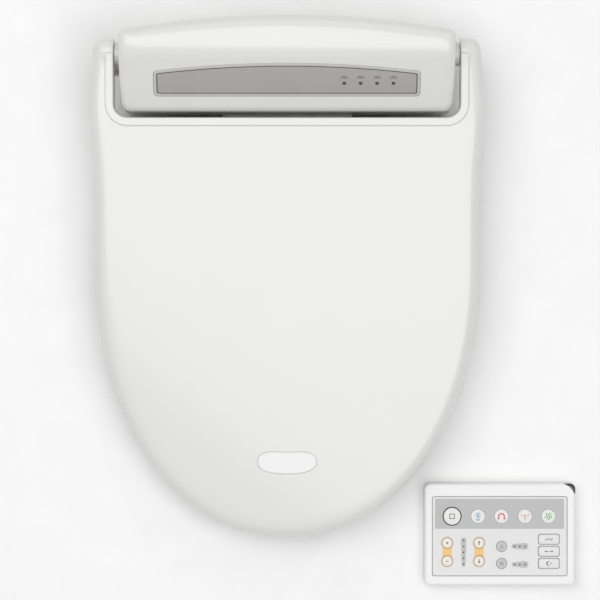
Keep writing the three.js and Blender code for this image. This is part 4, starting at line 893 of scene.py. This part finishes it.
frame_rows = [panel_at(0.5, 0.3), panel_at(0.15, 0.22), panel_at(0, 0), panel_at(0, -PANEL_DEEP),
              panel_at(PANEL_RIM, -PANEL_DEEP), panel_at(PANEL_RIM, 0.1), panel_at(PANEL_RIM - 0.2, 0.3)]
bezel = gathered("panel_bezel_moulded", [(onto_slope(tube(frame_rows)), rim_grey)])
settle(bezel, "base", "rim_grey", "panel_bezel")

field = onto_slope(pebble(panel_outline(PANEL_RIM + 0.15), -PANEL_DEEP + 0.1, 0.05, over=0.15, under=0.1))
line_rows = [panel_at(PANEL_RIM + 0.35, 0.1), panel_at(PANEL_RIM + 0.35, 0), panel_at(PANEL_RIM + 1.1, 0),
             panel_at(PANEL_RIM + 1.1, 0.1)]
LAMP_FIRST, LAMP_PITCH, LAMP_COUNT, LAMP_UP, LAMP_RADIUS = 57.0, 16.3, 4, 15.0, 1.9


def bar(x, y, width, height, low, high):
    """A small printed bar with round ends."""
    corners = box_corners(x - width / 2, x + width / 2, y - height / 2, y + height / 2, height / 2.01)
    points = rounded_outline(corners, 4)
    return stack([(points, high), (points, low)])


MARK_UP, MARK_PITCH, MARK_WIDTH, MARK_SHORTER, MARK_HEIGHT = 6.2, 1.5, 8.0, 2.5, 0.6
marks = []
for i in range(LAMP_COUNT):
    for row in range(2):
        mark = bar(LAMP_FIRST + LAMP_PITCH * i, LAMP_UP + MARK_UP + row * MARK_PITCH,
                   MARK_WIDTH - MARK_SHORTER * row, MARK_HEIGHT, 0.04, 0.09)
        marks.append((onto_slope(mark), line_dark))
thin_line = (onto_slope(tube(line_rows)), line_dark)
window = gathered("panel_window_printed", [(field, panel_grey), thin_line, *marks])
settle(window, "base", "panel_grey", "panel_window")
slope_turn = Matrix.Translation((0, PANEL_Y * MM, PANEL_Z * MM)) @ Matrix.Rotation(TILT, 4, "X")
lamps = dome_row("indicator_lamps", (LAMP_FIRST, LAMP_UP, 0.05), (LAMP_PITCH, 0, 0), LAMP_COUNT,
                 LAMP_RADIUS, 0.35, lamp_dark, slope_turn)
settle(lamps, "base", "dark_plastic", "indicator_strip")

# %% [markdown]
# ## The ring
#
# The ring lies under the lid and shows when the lid is raised. It is a third shell, with an
# opening. Its back edge rises in an arch so that the spray nozzle can pass below, and an ear at
# each side reaches back through the lid's arm to the hinge pin.

# %% The ring's plan
RING_CORNER, RING_BACK_ROUND, HOLE_ROUND = 12.0, 5.0, 9.0
HOLE_HALF, HOLE_BACK, NOSE_BAND = 108.0, -125.0, 65.0
HOLE_FRONT = NOSE_Y + SEAT_INSET + NOSE_BAND
ARCH_HALF, ARCH_TOP = 70.0, 41.0


def ring_edge():
    side = right_side(SEAT_BACK - RING_CORNER)
    full = both_sides(np.concatenate([side, [[0, SEAT_BACK]]]))
    side = side + turned_left(full)[:len(side)] * SEAT_INSET
    side[0, 0] = 0
    side[-1] = side[-2] + [0, SEAT_BACK - RING_CORNER - side[-2, 1]]
    centre = side[-1] - [RING_CORNER, 0]
    turn = np.linspace(0, math.pi / 2, 11)[1:]
    corner = centre + RING_CORNER * np.stack([np.cos(turn), np.sin(turn)], 1)
    back_x = np.linspace(centre[0], 0, 44)[1:]
    return both_sides(np.concatenate([side, corner, np.stack([back_x, np.full(43, SEAT_BACK)], 1)]))


ring_points = ring_edge()
backness = np.clip(-turned_left(ring_points)[:, 1], 0, 1) * (ring_points[:, 1] > -90)
ring_round = SEAT_EDGE + (RING_BACK_ROUND - SEAT_EDGE) * backness ** 2
hole_long = (HOLE_BACK - HOLE_FRONT) / 2
hole_turn = np.linspace(0, 2 * math.pi, 160, endpoint=False)
hole_points = np.stack([HOLE_HALF * np.cos(hole_turn),
                        (HOLE_BACK + HOLE_FRONT) / 2 + hole_long * np.sin(hole_turn)], 1)
RING_ROWS = rounding_steps(SEAT_EDGE, 9)
HOLE_ROWS = rounding_steps(HOLE_ROUND, 8)
ring_rims = [rim(ring_points, RING_ROWS, ring_round), rim(hole_points, HOLE_ROWS, HOLE_ROUND, hole=True)]
ring_plan = lay_plan(ring_rims, np.linspace(-188, 188, 41), np.linspace(-468, -58, 44))


def ring_foot(x, y):
    arch = step((ARCH_HALF + 3 - np.abs(x)) / 6) * (y > -185)
    return SEAT_UNDER + (ARCH_TOP - SEAT_UNDER) * arch


def ring_top(_x, y, drop):
    return seat_top(y) - drop


def ring_under(_x, y, drop):
    return seat_top(y) - SEAT_WALL - drop * 0.65


ring = make_shell("seat_ring_moulded", ring_plan, ring_top, ring_under, ring_foot, SEAT_WALL, white_gloss)
settle(ring, "seat", "white_gloss", "seat_top")

# %% The ears
EAR_NEAR, EAR_FAR, EAR_RADIUS = 179.0, 186.0, 11.0
neck_corners = [(-74, 33, 2), (-46, 37, 8), (12, 78, 2), (6, 91, 2), (-60, 55, 10), (-74, 52, 2)]
neck = rounded_outline(neck_corners, 5)


def ear(side):
    """A neck that rises behind the ring, and the eye that turns on the pin."""
    x0, x1 = sorted([side * EAR_NEAR, side * EAR_FAR])
    vertices, faces = pebble(neck, x0, x1, over=0.8, under=0.8)
    turned = [(z, x, y) for x, y, z in vertices]
    return [((turned, faces), white_gloss), (eye(x0, x1, EAR_RADIUS, PIN_BORE + 0.1), white_gloss)]


settle(gathered("seat_ears", ear(1) + ear(-1)), "seat", "white_gloss")

# %% The ring's feet
def foot_pad(node):
    low, high = corners_mm(node)
    radius = (high.y - low.y) / 2 - 0.5
    outline = rounded_outline(box_corners(low.x, high.x, low.y, high.y, radius), 8, 4)
    return pebble(outline, low.z, high.z, over=0.4, under=1.2)


for node in [n for n in frame["nodes"] if n.startswith("seat_bumper")]:
    settle(gathered(node + "_moulded", [(foot_pad(node), rubber_grey)]), "seat", "rubber_grey", node)

# %% [markdown]
# ## The handset
#
# The handset lies on its back beside the seat. Its front shell frames a printed film, and
# fourteen keys come up through holes in that film. The film, the printed band and the keys are
# thin solids laid one on another, each a few hundredths of a millimetre proud, as ink and film are.
# Words are left off: each key carries a plain sign for what it does.

# %% Thin sheets and strokes
def filled(plan, high, low):
    """A solid over a plan, from the heights of its upper and lower points."""
    count = len(plan["at"])
    vertices = [(x, y, z) for (x, y), z in zip(plan["at"], high)]
    vertices += [(x, y, z) for (x, y), z in zip(plan["at"], low)]
    faces = plan["faces"] + turned_over(plan["faces"], count)
    for ids, _edge in plan["rims"]:
        faces += bridged([ids, [i + count for i in ids]])
    return vertices, faces


def make_sheet(plan, low, high):
    """A flat solid over a plan, its upper edges rounded by the plan's own fall."""
    return filled(plan, high - plan["drop"], np.full(len(plan["at"]), low))


def stroke(points, widths, low, high):
    """A raised line of ink along points, its width given at each of them."""
    points = np.array(points, float)
    along = np.gradient(points, axis=0)
    along /= np.maximum(np.linalg.norm(along, axis=1, keepdims=True), 1e-9)
    side = np.stack([-along[:, 1], along[:, 0]], 1) * (np.broadcast_to(widths, len(points))[:, None] / 2)
    rows = []
    vertices = []
    sides = [(points + side, high), (points - side, high), (points - side, low), (points + side, low)]
    for place, z in sides:
        rows.append(row_of(vertices, place, np.broadcast_to(z, len(place))))
    faces = []
    for upper, lower in zip(rows, rows[1:] + rows[:1]):
        faces += [(upper[i], lower[i], lower[i + 1], upper[i + 1]) for i in range(len(points) - 1)]
    faces += [tuple(row[0] for row in rows[::-1]), tuple(row[-1] for row in rows)]
    return vertices, faces


def bow(x, y, radius, start, end, count=14):
    """Points along part of a circle, its angles in degrees."""
    turn = np.radians(np.linspace(start, end, count))
    return np.stack([x + radius * np.cos(turn), y + radius * np.sin(turn)], 1)


print("a bow of a quarter turn:", len(bow(0, 0, 1, 0, 90)), "points")

# %% The handset's shell
shell_low, shell_high = corners_mm("remote_front")
pad_low, pad_high = corners_mm("remote_pad")
HANDSET_CORNER, HANDSET_ROUND, HANDSET_WALL, FILM_GAP = 6.0, 2.6, 2.2, 0.45
SHELL_ROWS = rounding_steps(HANDSET_ROUND, 6) + [3.6, 5.2]
shell_corners = box_corners(shell_low.x, shell_high.x, shell_low.y, shell_high.y, HANDSET_CORNER)
shell_outline = rounded_outline(shell_corners, 10, 5)
window_frame = rounded_outline(box_corners(pad_low.x - FILM_GAP, pad_high.x + FILM_GAP,
                                           pad_low.y - FILM_GAP, pad_high.y + FILM_GAP, 2.2), 5, 5)
front_plan = lay_plan([rim(shell_outline, SHELL_ROWS, HANDSET_ROUND),
                       rim(window_frame, [0, 0.1, 0.3, 0.6, 1.0, 1.6], 0.6, hole=True)],
                      np.linspace(shell_low.x, shell_high.x, 36), np.linspace(shell_low.y, shell_high.y, 26))


def front_foot(x, y):
    inside = within(shell_outline + turned_left(shell_outline) * 1.0, np.stack([x, y], 1))
    return np.where(inside, pad_low.z + 0.3, shell_low.z)


def front_top(_x, _y, drop):
    return shell_high.z - drop


def front_under(_x, _y, drop):
    return shell_high.z - HANDSET_WALL - 0.4 * drop


front = make_shell("remote_front_moulded", front_plan, front_top, front_under, front_foot, 1.4,
                   white_satin, bead=0.3)
settle(front, "remote", "white_gloss", "remote_front")

# The receiver's window is a glossy black strip over the upper right corner.
STRIP_X, STRIP_Y, STRIP_PROUD = 10.0, 8.0, 0.12
strip_edge = inset(shell_outline, -STRIP_PROUD)
strip_line = np.concatenate([strip_edge, strip_edge[:1]])
corner_x, corner_y = shell_high.x + STRIP_PROUD, shell_high.y + STRIP_PROUD
strip_turn = np.linspace(0, math.pi / 2, 14)
strip_outer = np.stack([corner_x - HANDSET_CORNER + HANDSET_CORNER * np.cos(strip_turn),
                        corner_y - HANDSET_CORNER + HANDSET_CORNER * np.sin(strip_turn)], 1)
strip_inner = [(corner_x - STRIP_X - 2, corner_y), (corner_x - STRIP_X, corner_y - 1.2),
               (corner_x - STRIP_X + 3.5, corner_y - 3.4), (corner_x - 3.2, corner_y - STRIP_Y + 1),
               (corner_x - 1.5, corner_y - STRIP_Y - 1.6), (corner_x, corner_y - STRIP_Y - 3)]
strip_points = divided([np.array(p) for p in [*strip_outer, *strip_inner]], 0.8)
strip_plan = lay_plan([rim(strip_points, [0, 0.08])], np.arange(corner_x - 12, corner_x, 0.7),
                      np.arange(corner_y - 12, corner_y, 0.7))


def strip_top(x, y, _drop):
    edge = distance_to(strip_line, np.stack([x, y], 1))
    return shell_high.z + STRIP_PROUD - round_drop(edge, HANDSET_ROUND)


strip_x, strip_y = strip_plan["at"].T
strip_high = strip_top(strip_x, strip_y, 0)
# At the handset's own edges the strip wraps down over the side.
at_edge = (strip_x > corner_x - 0.2) | (strip_y > corner_y - 0.2)
strip_low = np.where(at_edge, np.minimum(strip_high - 1.0, shell_low.z + 1.2), strip_high - 1.0)
strip = gathered("remote_window_moulded", [(filled(strip_plan, strip_high, strip_low), black_gloss)])
settle(strip, "remote", "black_gloss", "remote_window")

# %% The keypad film
KEYS = sorted(n for n in frame["nodes"] if n.startswith("key_"))
KEY_GAP, KEY_CORNER, INK = 0.3, 2.5, 0.05


def key_outline(node, grow=0.0):
    """A key's outline from its place in the frame: round, or a rounded oblong."""
    low, high = corners_mm(node)
    x, y = (low.x + high.x) / 2, (low.y + high.y) / 2
    if abs((high.x - low.x) - (high.y - low.y)) < 1.0:
        return circle(x, y, (high.x - low.x) / 2 + grow, 44)
    corners = box_corners(low.x - grow, high.x + grow, low.y - grow, high.y + grow, KEY_CORNER)
    return rounded_outline(corners, 6, 2.5)


def key_centre(node):
    low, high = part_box(node)
    return (low + high) / 2 / MM


film_outline = rounded_outline(box_corners(pad_low.x, pad_high.x, pad_low.y, pad_high.y, 1.8), 5, 4)
key_holes = [rim(key_outline(node, KEY_GAP), [0, 0.08, 0.25], 0.2, hole=True) for node in KEYS]
film_plan = lay_plan([rim(film_outline, [0, 0.08, 0.25], 0.2), *key_holes],
                     np.linspace(pad_low.x, pad_high.x, 46), np.linspace(pad_low.y, pad_high.y, 30))
film = gathered("remote_pad_film", [(make_sheet(film_plan, pad_low.z, pad_high.z), film_pale)])
settle(film, "remote", "panel_grey", "remote_pad")

BAND = {"left": 2.6, "right": 135.2, "top": 2.0, "foot": 32.9}
band_corners = box_corners(pad_low.x + BAND["left"], pad_low.x + BAND["right"],
                           pad_high.y - BAND["foot"], pad_high.y - BAND["top"], 0.8)
band_keys = [n for n in KEYS if key_centre(n).y > pad_high.y - BAND["foot"]]
band_holes = [rim(key_outline(n, KEY_GAP + 0.3), [0, 0.3], hole=True) for n in band_keys]
band_plan = lay_plan([rim(rounded_outline(band_corners, 3, 4), [0, 0.3]), *band_holes],
                     np.linspace(pad_low.x, pad_high.x, 30), np.linspace(pad_low.y, pad_high.y, 22))
prints = [(make_sheet(band_plan, pad_high.z - 0.02, pad_high.z + INK), film_grey)]


def on_film(from_left, from_top):
    return pad_low.x + from_left, pad_high.y - from_top


# A coloured block joins a pair of round keys, and is hollowed where it meets each of them.
BLOCK_HALF, BLOCK_HOLLOW = 4.9, 6.15
for upper, lower in [("key_pressure_up", "key_pressure_down"), ("key_nozzle_forward", "key_nozzle_back")]:
    a, b = key_centre(upper), key_centre(lower)
    xs = np.linspace(a.x - BLOCK_HALF, a.x + BLOCK_HALF, 16)
    up = a.y - np.sqrt(BLOCK_HOLLOW ** 2 - (xs - a.x) ** 2)
    down = b.y + np.sqrt(BLOCK_HOLLOW ** 2 - (xs - b.x) ** 2)
    rows = np.stack([xs, (up + down) / 2], 1)
    prints.append((stroke(rows, up - down, pad_high.z - 0.02, pad_high.z + INK), ink_orange))


# Level bars: grey lozenges with dark dots, a little taller where the level is higher.
def lozenge(ends, radii):
    """A bar from one round end to another."""
    (x0, y0), (x1, y1) = ends
    lean = math.degrees(math.atan2(y1 - y0, x1 - x0))
    return np.concatenate([bow(x1, y1, radii[1], lean - 90, lean + 90, 12),
                           bow(x0, y0, radii[0], lean + 90, lean + 270, 12)])


DOT = {"radius": 0.85, "rise": 0.3}
levels = [
    ([on_film(31.9, 70.0), on_film(31.9, 44.6)], (2.0, 2.9), (31.9, 69.2), 5, (0, 6.1)),
    ([on_film(83.6, 50.9), on_film(95.0, 50.9)], (2.4, 3.5), (84.2, 50.9), 3, (5.4, 0)),
    ([on_film(83.6, 69.5), on_film(95.0, 69.5)], (2.4, 3.5), (84.2, 69.5), 3, (5.4, 0)),
]
for number, (ends, radii, first, count, stride) in enumerate(levels):
    outline = lozenge(ends, radii)
    prints.append((stack([(outline, pad_high.z + INK), (outline, pad_high.z - 0.02)]), film_grey))
    place = (*on_film(*first), pad_high.z + INK)
    dots = dome_row(f"level_dots_{number + 1}", place, (*stride, 0), count,
                    DOT["radius"], DOT["rise"], line_dark)
    settle(dots, "remote", "dark_plastic")
settle(gathered("remote_prints", prints), "remote", "panel_grey")

# %% [markdown]
# Each key is a low pebble with a rim of one colour and a face of another, and its sign is raised
# ink. The signs are strokes: a few arcs and lines whose width may taper, so one function draws a
# fountain, an arch, a pinwheel or an arrow.

# %% The signs
def sign_strokes(name):
    """The strokes of a key's sign about its centre: (points, width) in millimetres."""
    if name == "key_stop":
        return [([(-2.4, -2.4), (2.4, -2.4)], 0.7), ([(2.4, -2.75), (2.4, 2.75)], 0.7),
                ([(2.4, 2.4), (-2.4, 2.4)], 0.7), ([(-2.4, 2.75), (-2.4, -2.75)], 0.7)]
    if name == "key_rear_wash":
        arcs = []
        for side in (1, -1):
            for reach, top in ((2.9, 3.6), (1.7, 1.2)):
                turn = np.linspace(0, 1, 12)
                x = side * reach * turn
                y = top - 1.6 + 6.2 * turn * (1 - turn) * 1.1 - 1.9 * turn ** 2
                arcs.append((np.stack([x, y], 1), np.linspace(0.75, 0.4, 12)))
        return arcs + [([(0, -2.6), (0, 2.0)], 0.7), ([(-2.2, -3.3), (2.2, -3.3)], 0.8),
                       ([(-1.4, -4.3), (1.4, -4.3)], 0.6)]
    if name == "key_front_wash":
        arch = bow(0, -0.2, 2.9, -35, 215, 26)
        return [(arch, 1.5 - 0.3 * np.abs(np.linspace(-1, 1, 26))),
                ([(2.2, -2.2), (3.3, -2.6), (4.4, -2.3)], [1.6, 1.4, 0.6]),
                ([(-2.2, -2.2), (-3.3, -2.6), (-4.4, -2.3)], [1.6, 1.4, 0.6])]
    if name == "key_auto_wash":
        return [([(0, -4.4), (0, -0.6)], [0.35, 1.3]), ([(0, 0.2), (0, 2.0)], 0.5),
                (bow(-2.1, 2.6, 2.1, 180, 270), 0.6), (bow(2.1, 2.6, 2.1, 270, 360), 0.6),
                ([(-2.1, 0.5), (2.1, 0.5)], 0.6)]
    if name == "key_dryer":
        blades = []
        for k in range(5):
            turn = math.radians(72 * k + 20)
            spin = np.array([[math.cos(turn), -math.sin(turn)], [math.sin(turn), math.cos(turn)]])
            blade = bow(1.9, 0.2, 1.9, 175, 20, 14)
            blades.append((blade @ spin.T, np.interp(np.linspace(0, 1, 14), [0, 0.55, 1], [0.5, 1.25, 0.3])))
        return blades
    if name == "key_pressure_up":
        return [([(-1.2, 0), (1.2, 0)], 0.7), ([(0, -1.2), (0, 1.2)], 0.7)]
    if name == "key_pressure_down":
        return [([(-1.2, 0), (1.2, 0)], 0.7)]
    if name in ("key_nozzle_forward", "key_nozzle_back"):
        up = 1 if name == "key_nozzle_forward" else -1
        return [([(0, -2.2 * up), (0, 0.6 * up)], 0.75), ([(0, 0.2 * up), (0, 2.3 * up)], [2.6, 0.15])]
    if name == "key_water_heat":
        drop = np.concatenate([bow(0, -0.5, 1.25, 40, -220, 18), [(0, 2.1)]])
        return [(np.concatenate([drop, drop[:1]]), 0.4)]
    if name == "key_seat_heat":
        wave = 0.4 * np.sin(np.linspace(0, 2 * math.pi, 12))
        return [(np.stack([x + wave, np.linspace(-1.7, 1.7, 12)], 1), 0.4) for x in (-1.3, 0, 1.3)]
    if name == "key_massage":
        x = np.linspace(-4.2, 4.2, 30)
        return [(np.stack([x, 1.1 * np.sin(x * 2.2)], 1), 0.5)]
    if name == "key_moving":
        return [([(-3.2, 0), (3.2, 0)], 0.5), ([(-2.6, 0), (-4.4, 0)], [2.2, 0.1]),
                ([(2.6, 0), (4.4, 0)], [2.2, 0.1])]
    return [(bow(0, 0, 2.1, 60, 300, 20), np.interp(np.linspace(0, 1, 20), [0, 0.5, 1], [0.2, 1.3, 0.2])),
            ([(1.2, -0.4), (3.6, -0.4)], 0.4), ([(1.2, 0.8), (3.0, 0.8)], 0.4)]


KEY_LOOKS = {
    "key_stop": (ink_brown, key_pale, ink_brown, 0.95),
    "key_rear_wash": (film_pale, key_pale, ink_blue, 0.9),
    "key_front_wash": (film_pale, key_pale, ink_rose, 0.9),
    "key_auto_wash": (film_pale, key_pale, ink_red, 0.9),
    "key_dryer": (film_pale, key_pale, ink_green, 0.9),
    "key_pressure_up": (ink_tan, key_pale, line_dark, 1.0),
    "key_pressure_down": (ink_tan, key_pale, line_dark, 1.0),
    "key_nozzle_forward": (ink_tan, key_pale, line_dark, 1.0),
    "key_nozzle_back": (ink_tan, key_pale, line_dark, 1.0),
    "key_water_heat": (key_grey, key_grey, line_dark, 0.6),
    "key_seat_heat": (key_grey, key_grey, line_dark, 0.6),
    "key_massage": (key_grey, film_pale, line_dark, 0.8),
    "key_moving": (key_grey, film_pale, line_dark, 0.8),
    "key_energy_saving": (key_grey, film_pale, line_dark, 0.8),
}
FACE_STEP = 0.06
for node in KEYS:
    rim_look, face_look, sign_look, margin = KEY_LOOKS[node]
    low, high = corners_mm(node)
    body = pebble(key_outline(node), low.z, high.z - FACE_STEP, over=0.45, under=0.2)
    face_levels = [(inset(key_outline(node), margin + d), high.z - FACE_STEP + rise)
                   for d, rise in [(0.12, FACE_STEP), (0, FACE_STEP * 0.5), (0, -0.15)]]
    solids = [(body, rim_look), (stack(face_levels), face_look)]
    centre = key_centre(node)
    for points, width in sign_strokes(node):
        moved = np.array(points, float) + [centre.x, centre.y]
        solids.append((stroke(moved, width, high.z - 0.05, high.z + INK), sign_look))
    settle(gathered(node + "_moulded", solids), node[4:] + "_key", "key_grey", node)

# %% [markdown]
# ## What is inside, and the tray
#
# The pieces inside the box keep the shapes they have in the frame: they are seen only when the
# lid and ring are raised or from below. They still get the finish of the real material, because a
# grey default shows at once through a gap.

# %% Finishes of the pieces that keep their shape
looks = {
    white_gloss: ["release_button"],
    white_matt: ["seat_underside", "base_tray", "mounting_bracket", "water_tank", "flow_selector",
                 "nozzle_rack", "nozzle_guide", "nozzle_pinion", "blower_impeller", "dryer_duct",
                 "dryer_flap", "remote_back", "battery_door"],
    rubber_grey: ["cord_gland", "lid_bumper_left", "lid_bumper_right"],
    dark_plastic: ["inlet_valve", "air_pump", "blower_housing"],
    steel: ["seat_damper", "lid_damper", "tank_heater", "nozzle_motor", "blower_motor"],
    brass: ["water_inlet"],
    board_green: ["main_board", "remote_board"],
    copper_foil: ["seat_heater"],
    cell_sleeve: ["battery_upper", "battery_lower"],
}
for look, nodes in looks.items():
    for node in nodes:
        if node in frame["nodes"]:
            materials = frame["nodes"][node].data.materials
            materials.clear()
            materials.append(look)
print("finishes given to", sum(len(nodes) for nodes in looks.values()), "inner pieces")

# %% [markdown]
# The spray nozzle is a turned steel tube with a blunt tip and a line of small holes on its upper
# side. Its outline is drawn along one axis and the piece is then turned onto the slide's own
# direction, so it can't lean away from the path that it moves along.

# %% The spray nozzle
NOZZLE_RADIUS, NOZZLE_LENGTH, NOZZLE_TIP = 5.0, 140.0, (0, -92, 15)
SPRAY = {"first": 7, "pitch": 2.6, "count": 4, "radius": 0.55}


def nozzle_piece():
    """The barrel: a turned tube with a blunt tip and a line of spray holes."""
    joint = next(j for j in frame["joints"] if j["name"] == "nozzle_slide")
    along = Vector(joint["axis"]).normalized()
    low, high = corners_mm("nozzle_barrel")
    radius, length = NOZZLE_RADIUS, NOZZLE_LENGTH
    profile = [(1.4, 0.15), (2.6, 0.6), (3.7, 1.4), (4.5, 2.6), (4.9, 3.9), (radius, 5.2), (radius, 18),
               (4.8, 18.3), (4.8, 19.2), (radius, 19.5), (radius, length - 2), (3.2, length - 0.2)]
    levels = [(circle(0, 0, r, 48), y) for r, y in profile[::-1]]
    turn = Matrix.Translation(NOZZLE_TIP) @ along.to_track_quat("-Z", "X").to_matrix().to_4x4()
    vertices, faces = stack(levels)
    solids = [(([turn @ Vector(v) for v in vertices], faces), steel)]
    mouth = circle(0, 0, SPRAY["radius"], 16)
    hole = stack([(mouth, 0.04), (mouth, -0.4)])
    for k in range(SPRAY["count"]):
        down_barrel = Matrix.Translation((0, 0, SPRAY["first"] + SPRAY["pitch"] * k))
        place = turn @ down_barrel @ face_up(turn, radius)
        solids.append((([place @ Vector(v) for v in hole[0]], hole[1]), dark_plastic))
    print("barrel from", tuple(round(v, 1) for v in low), "to", tuple(round(v, 1) for v in high))
    return gathered("nozzle_barrel_turned", solids)


def face_up(turn, radius):
    """Moves a mark from the barrel's axis to its upper side, facing out."""
    up = turn.to_3x3().inverted() @ Vector((0, 0, 1))
    up.z = 0
    up.normalize()
    return Matrix.Translation(up * radius) @ up.to_track_quat("Z", "X").to_matrix().to_4x4()


settle(nozzle_piece(), "nozzle", "steel", "nozzle_barrel")

# %% [markdown]
# ## Floor, light and camera
#
# The studio is a large pale floor, one broad soft light overhead and a weaker one behind, and a
# pale room that fills the shadows. Broad lights give gloss a wide, quiet highlight instead of a
# hot spot. The camera looks straight down from nearly three metres through a long lens, so the
# sides of the object hardly show.

# %% Stage
FLOOR_REACH, ROOM_LIGHT, LENS, CAMERA_UP = 6.0, 0.47, 174, 2.9


def soft_box(name, place, size, power, target):
    lamp = bpy.data.lights.new(name, "AREA")
    lamp.shape = "RECTANGLE"
    lamp.size, lamp.size_y = size
    lamp.energy = power
    thing = bpy.data.objects.new(name, lamp)
    thing.location = place
    thing.rotation_euler = (Vector(target) - Vector(place)).to_track_quat("-Z", "Y").to_euler()
    bpy.context.scene.collection.objects.link(thing)
    return thing


floor_mesh = bpy.data.meshes.new("floor")
floor_corners = box_corners(-FLOOR_REACH, FLOOR_REACH, -FLOOR_REACH, FLOOR_REACH, 0)
floor_mesh.from_pydata(floor_corners, [], [(0, 1, 2, 3)])
floor_mesh.materials.append(finish("pale_paper", "#FEFEFE", 0.9, grain_mm=2, bump_mm=0.005))
floor = bpy.data.objects.new("floor", floor_mesh)
floor.location.z = -0.0005
bpy.context.scene.collection.objects.link(floor)

middle = Vector((0.013, -0.232, 0.1))
soft_box("overhead", (0.0, -0.25, 2.3), (3.0, 1.4), 32, middle)
soft_box("rear_fill", (-0.4, 1.7, 1.4), (2.0, 1.2), 4, middle)

world = bpy.data.worlds.new("pale_room")
world.use_nodes = True
world.node_tree.nodes["Background"].inputs["Color"].default_value = (1, 1, 1, 1)
world.node_tree.nodes["Background"].inputs["Strength"].default_value = ROOM_LIGHT
bpy.context.scene.world = world

camera_data = bpy.data.cameras.new("camera")
camera_data.lens = LENS
camera = bpy.data.objects.new("camera", camera_data)
camera.location = middle + Vector((0, 0, CAMERA_UP))
bpy.context.scene.collection.objects.link(camera)
bpy.context.scene.camera = camera
bpy.context.scene.view_settings.view_transform = "Standard"
print("camera", round(camera.location.z, 2), "m up,", LENS, "mm lens")

# %% Update the scene
bpy.context.view_layer.update()
